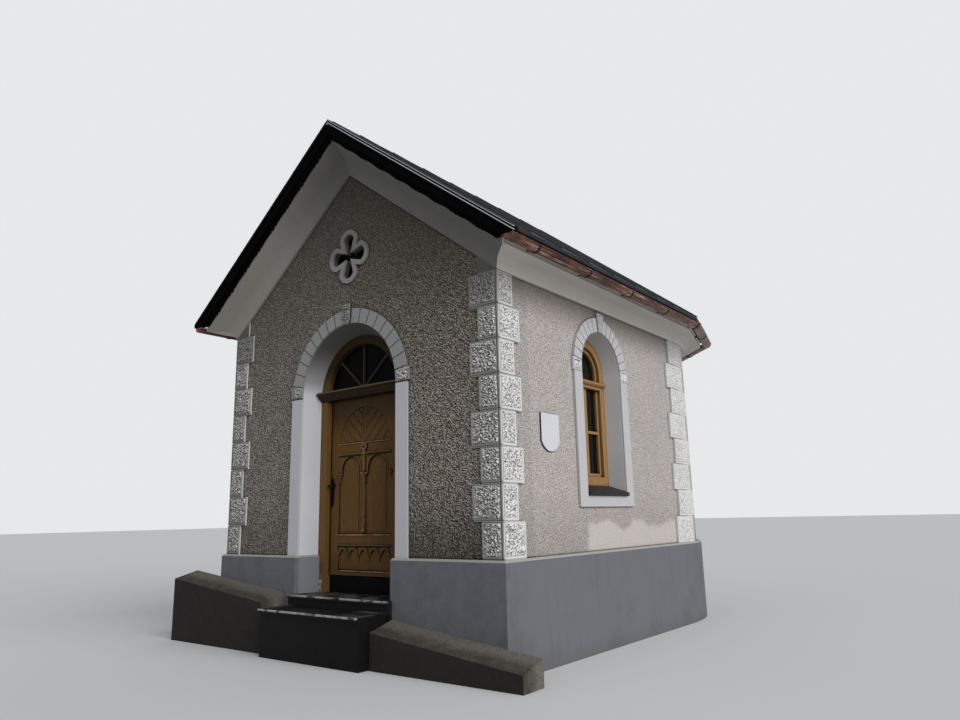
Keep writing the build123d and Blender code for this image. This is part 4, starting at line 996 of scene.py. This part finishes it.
# %% [markdown]
# At the rear the blocks bend round the start of the apse. The distance along the wall is measured
# from the point where the flat wall ends, and beyond it the same distance runs along the circle.

# %% Panels of the rear corners
REAR_ARC = 0.125
END_MARGIN = 0.024


def round_corner(sign, along, height, level):
    """A point of the rear corner, on the flat wall where along is below 0 and else on the apse."""
    if along < 0:
        return Vector((sign * (HALF + height), along, level))
    turn = along / HALF
    reach = HALF + height
    return Vector((sign * reach * math.cos(turn), reach * math.sin(turn), level))


for side, sign in SIDES:
    stones = []
    for index in range(BLOCKS):
        foot = PLINTH + index * BLOCK + FOOT_MARGIN
        before = WIDE if index % 2 == 0 else NARROW
        start = REAR_ARC - before + END_MARGIN

        def bent(u, v, height):
            return round_corner(sign, start + u, height, foot + v)

        stones.append(panel("stone", WIDE + NARROW - 2 * END_MARGIN, PANEL_TALL, bent, STONE_DEPTH))
    join(stones, "quoin_panels_rear_" + side, quoin_paint, angle=50)


# %% [markdown]
# The arches over the door and the windows start from the same kind of block, and each has a keystone
# of it. A keystone narrows downwards, so its spot squeezes the panel by its height.

# %% Panels of the arches
BAND = 0.165
IMPOST_FACE = 0.025
IMPOST_TALL = 0.113
IMPOST_MARGIN = 0.016
KEY_RISE = 0.060
KEY_HEAD = 0.0775
KEY_FACE = 0.045
KEY_MARGIN = 0.017
KEY_REACH = 0.057
WINDOW_DROP = 0.0725


def arch_stones(name, place, half, spring, impost_foot, dense):
    """place(across, out, level) puts a point on the right wall. The blocks lie each side of the arch."""
    stones = []
    for side in (-1, 1):
        def block(u, v, height):
            across = side * (half + 0.020) + side * u
            return place(across, IMPOST_FACE + height, impost_foot + IMPOST_MARGIN + v)

        stones.append(panel("stone", BAND - 0.024, IMPOST_TALL, block, STONE_DEPTH, dense))
    top = spring + half + BAND + KEY_RISE
    foot = spring + half - 0.004
    tall = top - foot - 2 * KEY_MARGIN
    low_half = KEY_HEAD * (half - 0.010) / (half + BAND + KEY_RISE)

    def key(u, v, height):
        narrow = (low_half + (KEY_HEAD - low_half) * v / tall) / KEY_HEAD
        return place((u - KEY_REACH) * narrow, KEY_FACE + height, foot + KEY_MARGIN + v)

    stones.append(panel("stone", 2 * KEY_REACH, tall, key, 0.008, dense))
    join(stones, name, quoin_paint, angle=50)


def before_door(across, out, level):
    return Vector((across, WALL_FACE - out, level))


def beside_window(sign):
    return lambda across, out, level: Vector((sign * (SIDE_FACE + out), WINDOW_MIDDLE + across, level))


arch_stones("door_arch_panels", before_door, DOOR_HALF, DOOR_SPRING, DOOR_SPRING, 0.9)
impost_foot = WINDOW_SPRING - WINDOW_DROP
for side, sign in SIDES:
    name = "window_arch_panels_" + side
    arch_stones(name, beside_window(sign), WINDOW_HALF, WINDOW_SPRING, impost_foot, 0.45)


# %% [markdown]
# The roof is covered with sheet metal, folded up into a standing seam every 55 centimetres. Seams
# run down the slope. One seam is a bevelled bar, made with a matrix whose first axis runs down the
# slope and whose third axis stands off the roof, so that one helper serves every direction.

# %% Standing seams
RIDGE = EAVE + HALF * SLOPE + 0.571
EDGE = 2.530
RIDGE_GAP = 0.152
SEAM_END = EDGE - 0.006
FIRST_SEAM = -4.02
SEAM_PITCH = 0.55


def roof_level(x):
    return RIDGE - abs(x) * SLOPE


def seam(name, start, end, outward, width=0.014, height=0.026):
    """A bar with softened edges from start to end, standing off the roof along outward."""
    bpy.ops.object.select_all(action="DESELECT")
    bpy.ops.mesh.primitive_cube_add(size=1.0)
    piece = bpy.context.object
    piece.name = name
    along = (end - start).normalized()
    out = (outward - outward.dot(along) * along).normalized()
    across = out.cross(along)
    length = (end - start).length
    turned = Matrix((along * length, across * width, out * height)).transposed().to_4x4()
    piece.matrix_world = Matrix.Translation((start + end) / 2 + out * (height / 2 - 0.004)) @ turned
    bpy.ops.object.transform_apply(location=True, rotation=True, scale=True)
    soften = piece.modifiers.new("soften", "BEVEL")
    soften.width = 0.003
    soften.segments = 2
    bpy.ops.object.modifier_apply(modifier="soften")
    return piece


for side, sign in SIDES:
    seams = []
    for index in range(8):
        y = FIRST_SEAM + index * SEAM_PITCH
        start = Vector((sign * RIDGE_GAP, y, roof_level(RIDGE_GAP)))
        end = Vector((sign * SEAM_END, y, roof_level(SEAM_END)))
        seams.append(seam("seam", start, end, Vector((sign * SLOPE, 0, 1))))
    join(seams, "roof_seams_" + side, roof_sheet)


# %% [markdown]
# The roof of the apse is a fan of six flat facets. A broad bar covers each hip between two facets,
# and every facet has two seams of its own. They run straight down it, side by side, so they start
# where the facet has become wide enough for them.

# %% Seams of the apse
FACET = math.radians(30)
HIP_START = 0.14
HIP_END = 0.995 * EDGE
SEAM_OFFSET = 0.22

seams = []
for index in range(7):
    turn = index * FACET
    start = Vector((HIP_START * math.cos(turn), HIP_START * math.sin(turn), roof_level(HIP_START)))
    end = Vector((HIP_END * math.cos(turn), HIP_END * math.sin(turn), roof_level(HIP_END)))
    outward = Vector((SLOPE * math.cos(turn), SLOPE * math.sin(turn), 1))
    seams.append(seam("hip", start, end, outward, 0.05, 0.022))
scale = math.cos(FACET / 2)
near = SEAM_OFFSET / math.tan(FACET / 2) + 0.10
far = EDGE * scale - 0.008
for index in range(6):
    turn = (index + 0.5) * FACET
    out = Vector((math.cos(turn), math.sin(turn), 0))
    along = Vector((-math.sin(turn), math.cos(turn), 0))
    for offset in (-SEAM_OFFSET, SEAM_OFFSET):
        start = out * near + along * offset
        start.z = roof_level(near / scale)
        end = out * far + along * offset
        end.z = roof_level(far / scale)
        seams.append(seam("seam", start, end, out * (SLOPE / scale) + Vector((0, 0, 1))))
join(seams, "roof_seams_apse", roof_sheet)


# %% [markdown]
# A small carved flower sits in the head of each arched panel of the door. It is five petals round a
# button. A petal is a squashed ball whose outer end is drawn out a little, turned to its place. The
# flowers ride on the door, because they have to swing with it.

# %% Flowers on the door
FIELD = LEAF_FACE + 0.0066
FLOWER_LEVEL = 1.985
FLOWER_MIDDLE = 0.213
PETAL = 0.017
BUTTON = 0.012


def petal(turn):
    """One petal that points away from the middle of the flower, with its back on the panel."""
    bpy.ops.object.select_all(action="DESELECT")
    bpy.ops.mesh.primitive_uv_sphere_add(segments=12, ring_count=8, radius=PETAL)
    piece = bpy.context.object
    for vertex in piece.data.vertices:
        out = vertex.co.z / PETAL
        vertex.co.x *= 0.62 + 0.22 * out
        vertex.co.y *= 0.42
        vertex.co.z = vertex.co.z * 1.15 + 0.022
    piece.data.transform(Matrix.Rotation(turn, 4, "Y"))
    return piece


for side, sign in SIDES:
    flower = [petal(math.radians(72 * index + 36)) for index in range(5)]
    bpy.ops.object.select_all(action="DESELECT")
    bpy.ops.mesh.primitive_uv_sphere_add(segments=12, ring_count=8, radius=BUTTON)
    button = bpy.context.object
    for vertex in button.data.vertices:
        vertex.co.y = vertex.co.y * 0.9 - 0.003
    flower.append(button)
    for piece in flower:
        piece.data.transform(Matrix.Translation(Vector((sign * FLOWER_MIDDLE, FIELD, FLOWER_LEVEL))))
    join(flower, "door_flower_" + side, flower_wood, "door")


# %% [markdown]
# The last step sets the view transform to Standard.

# %% Finish
bpy.context.scene.view_settings.view_transform = "Standard"
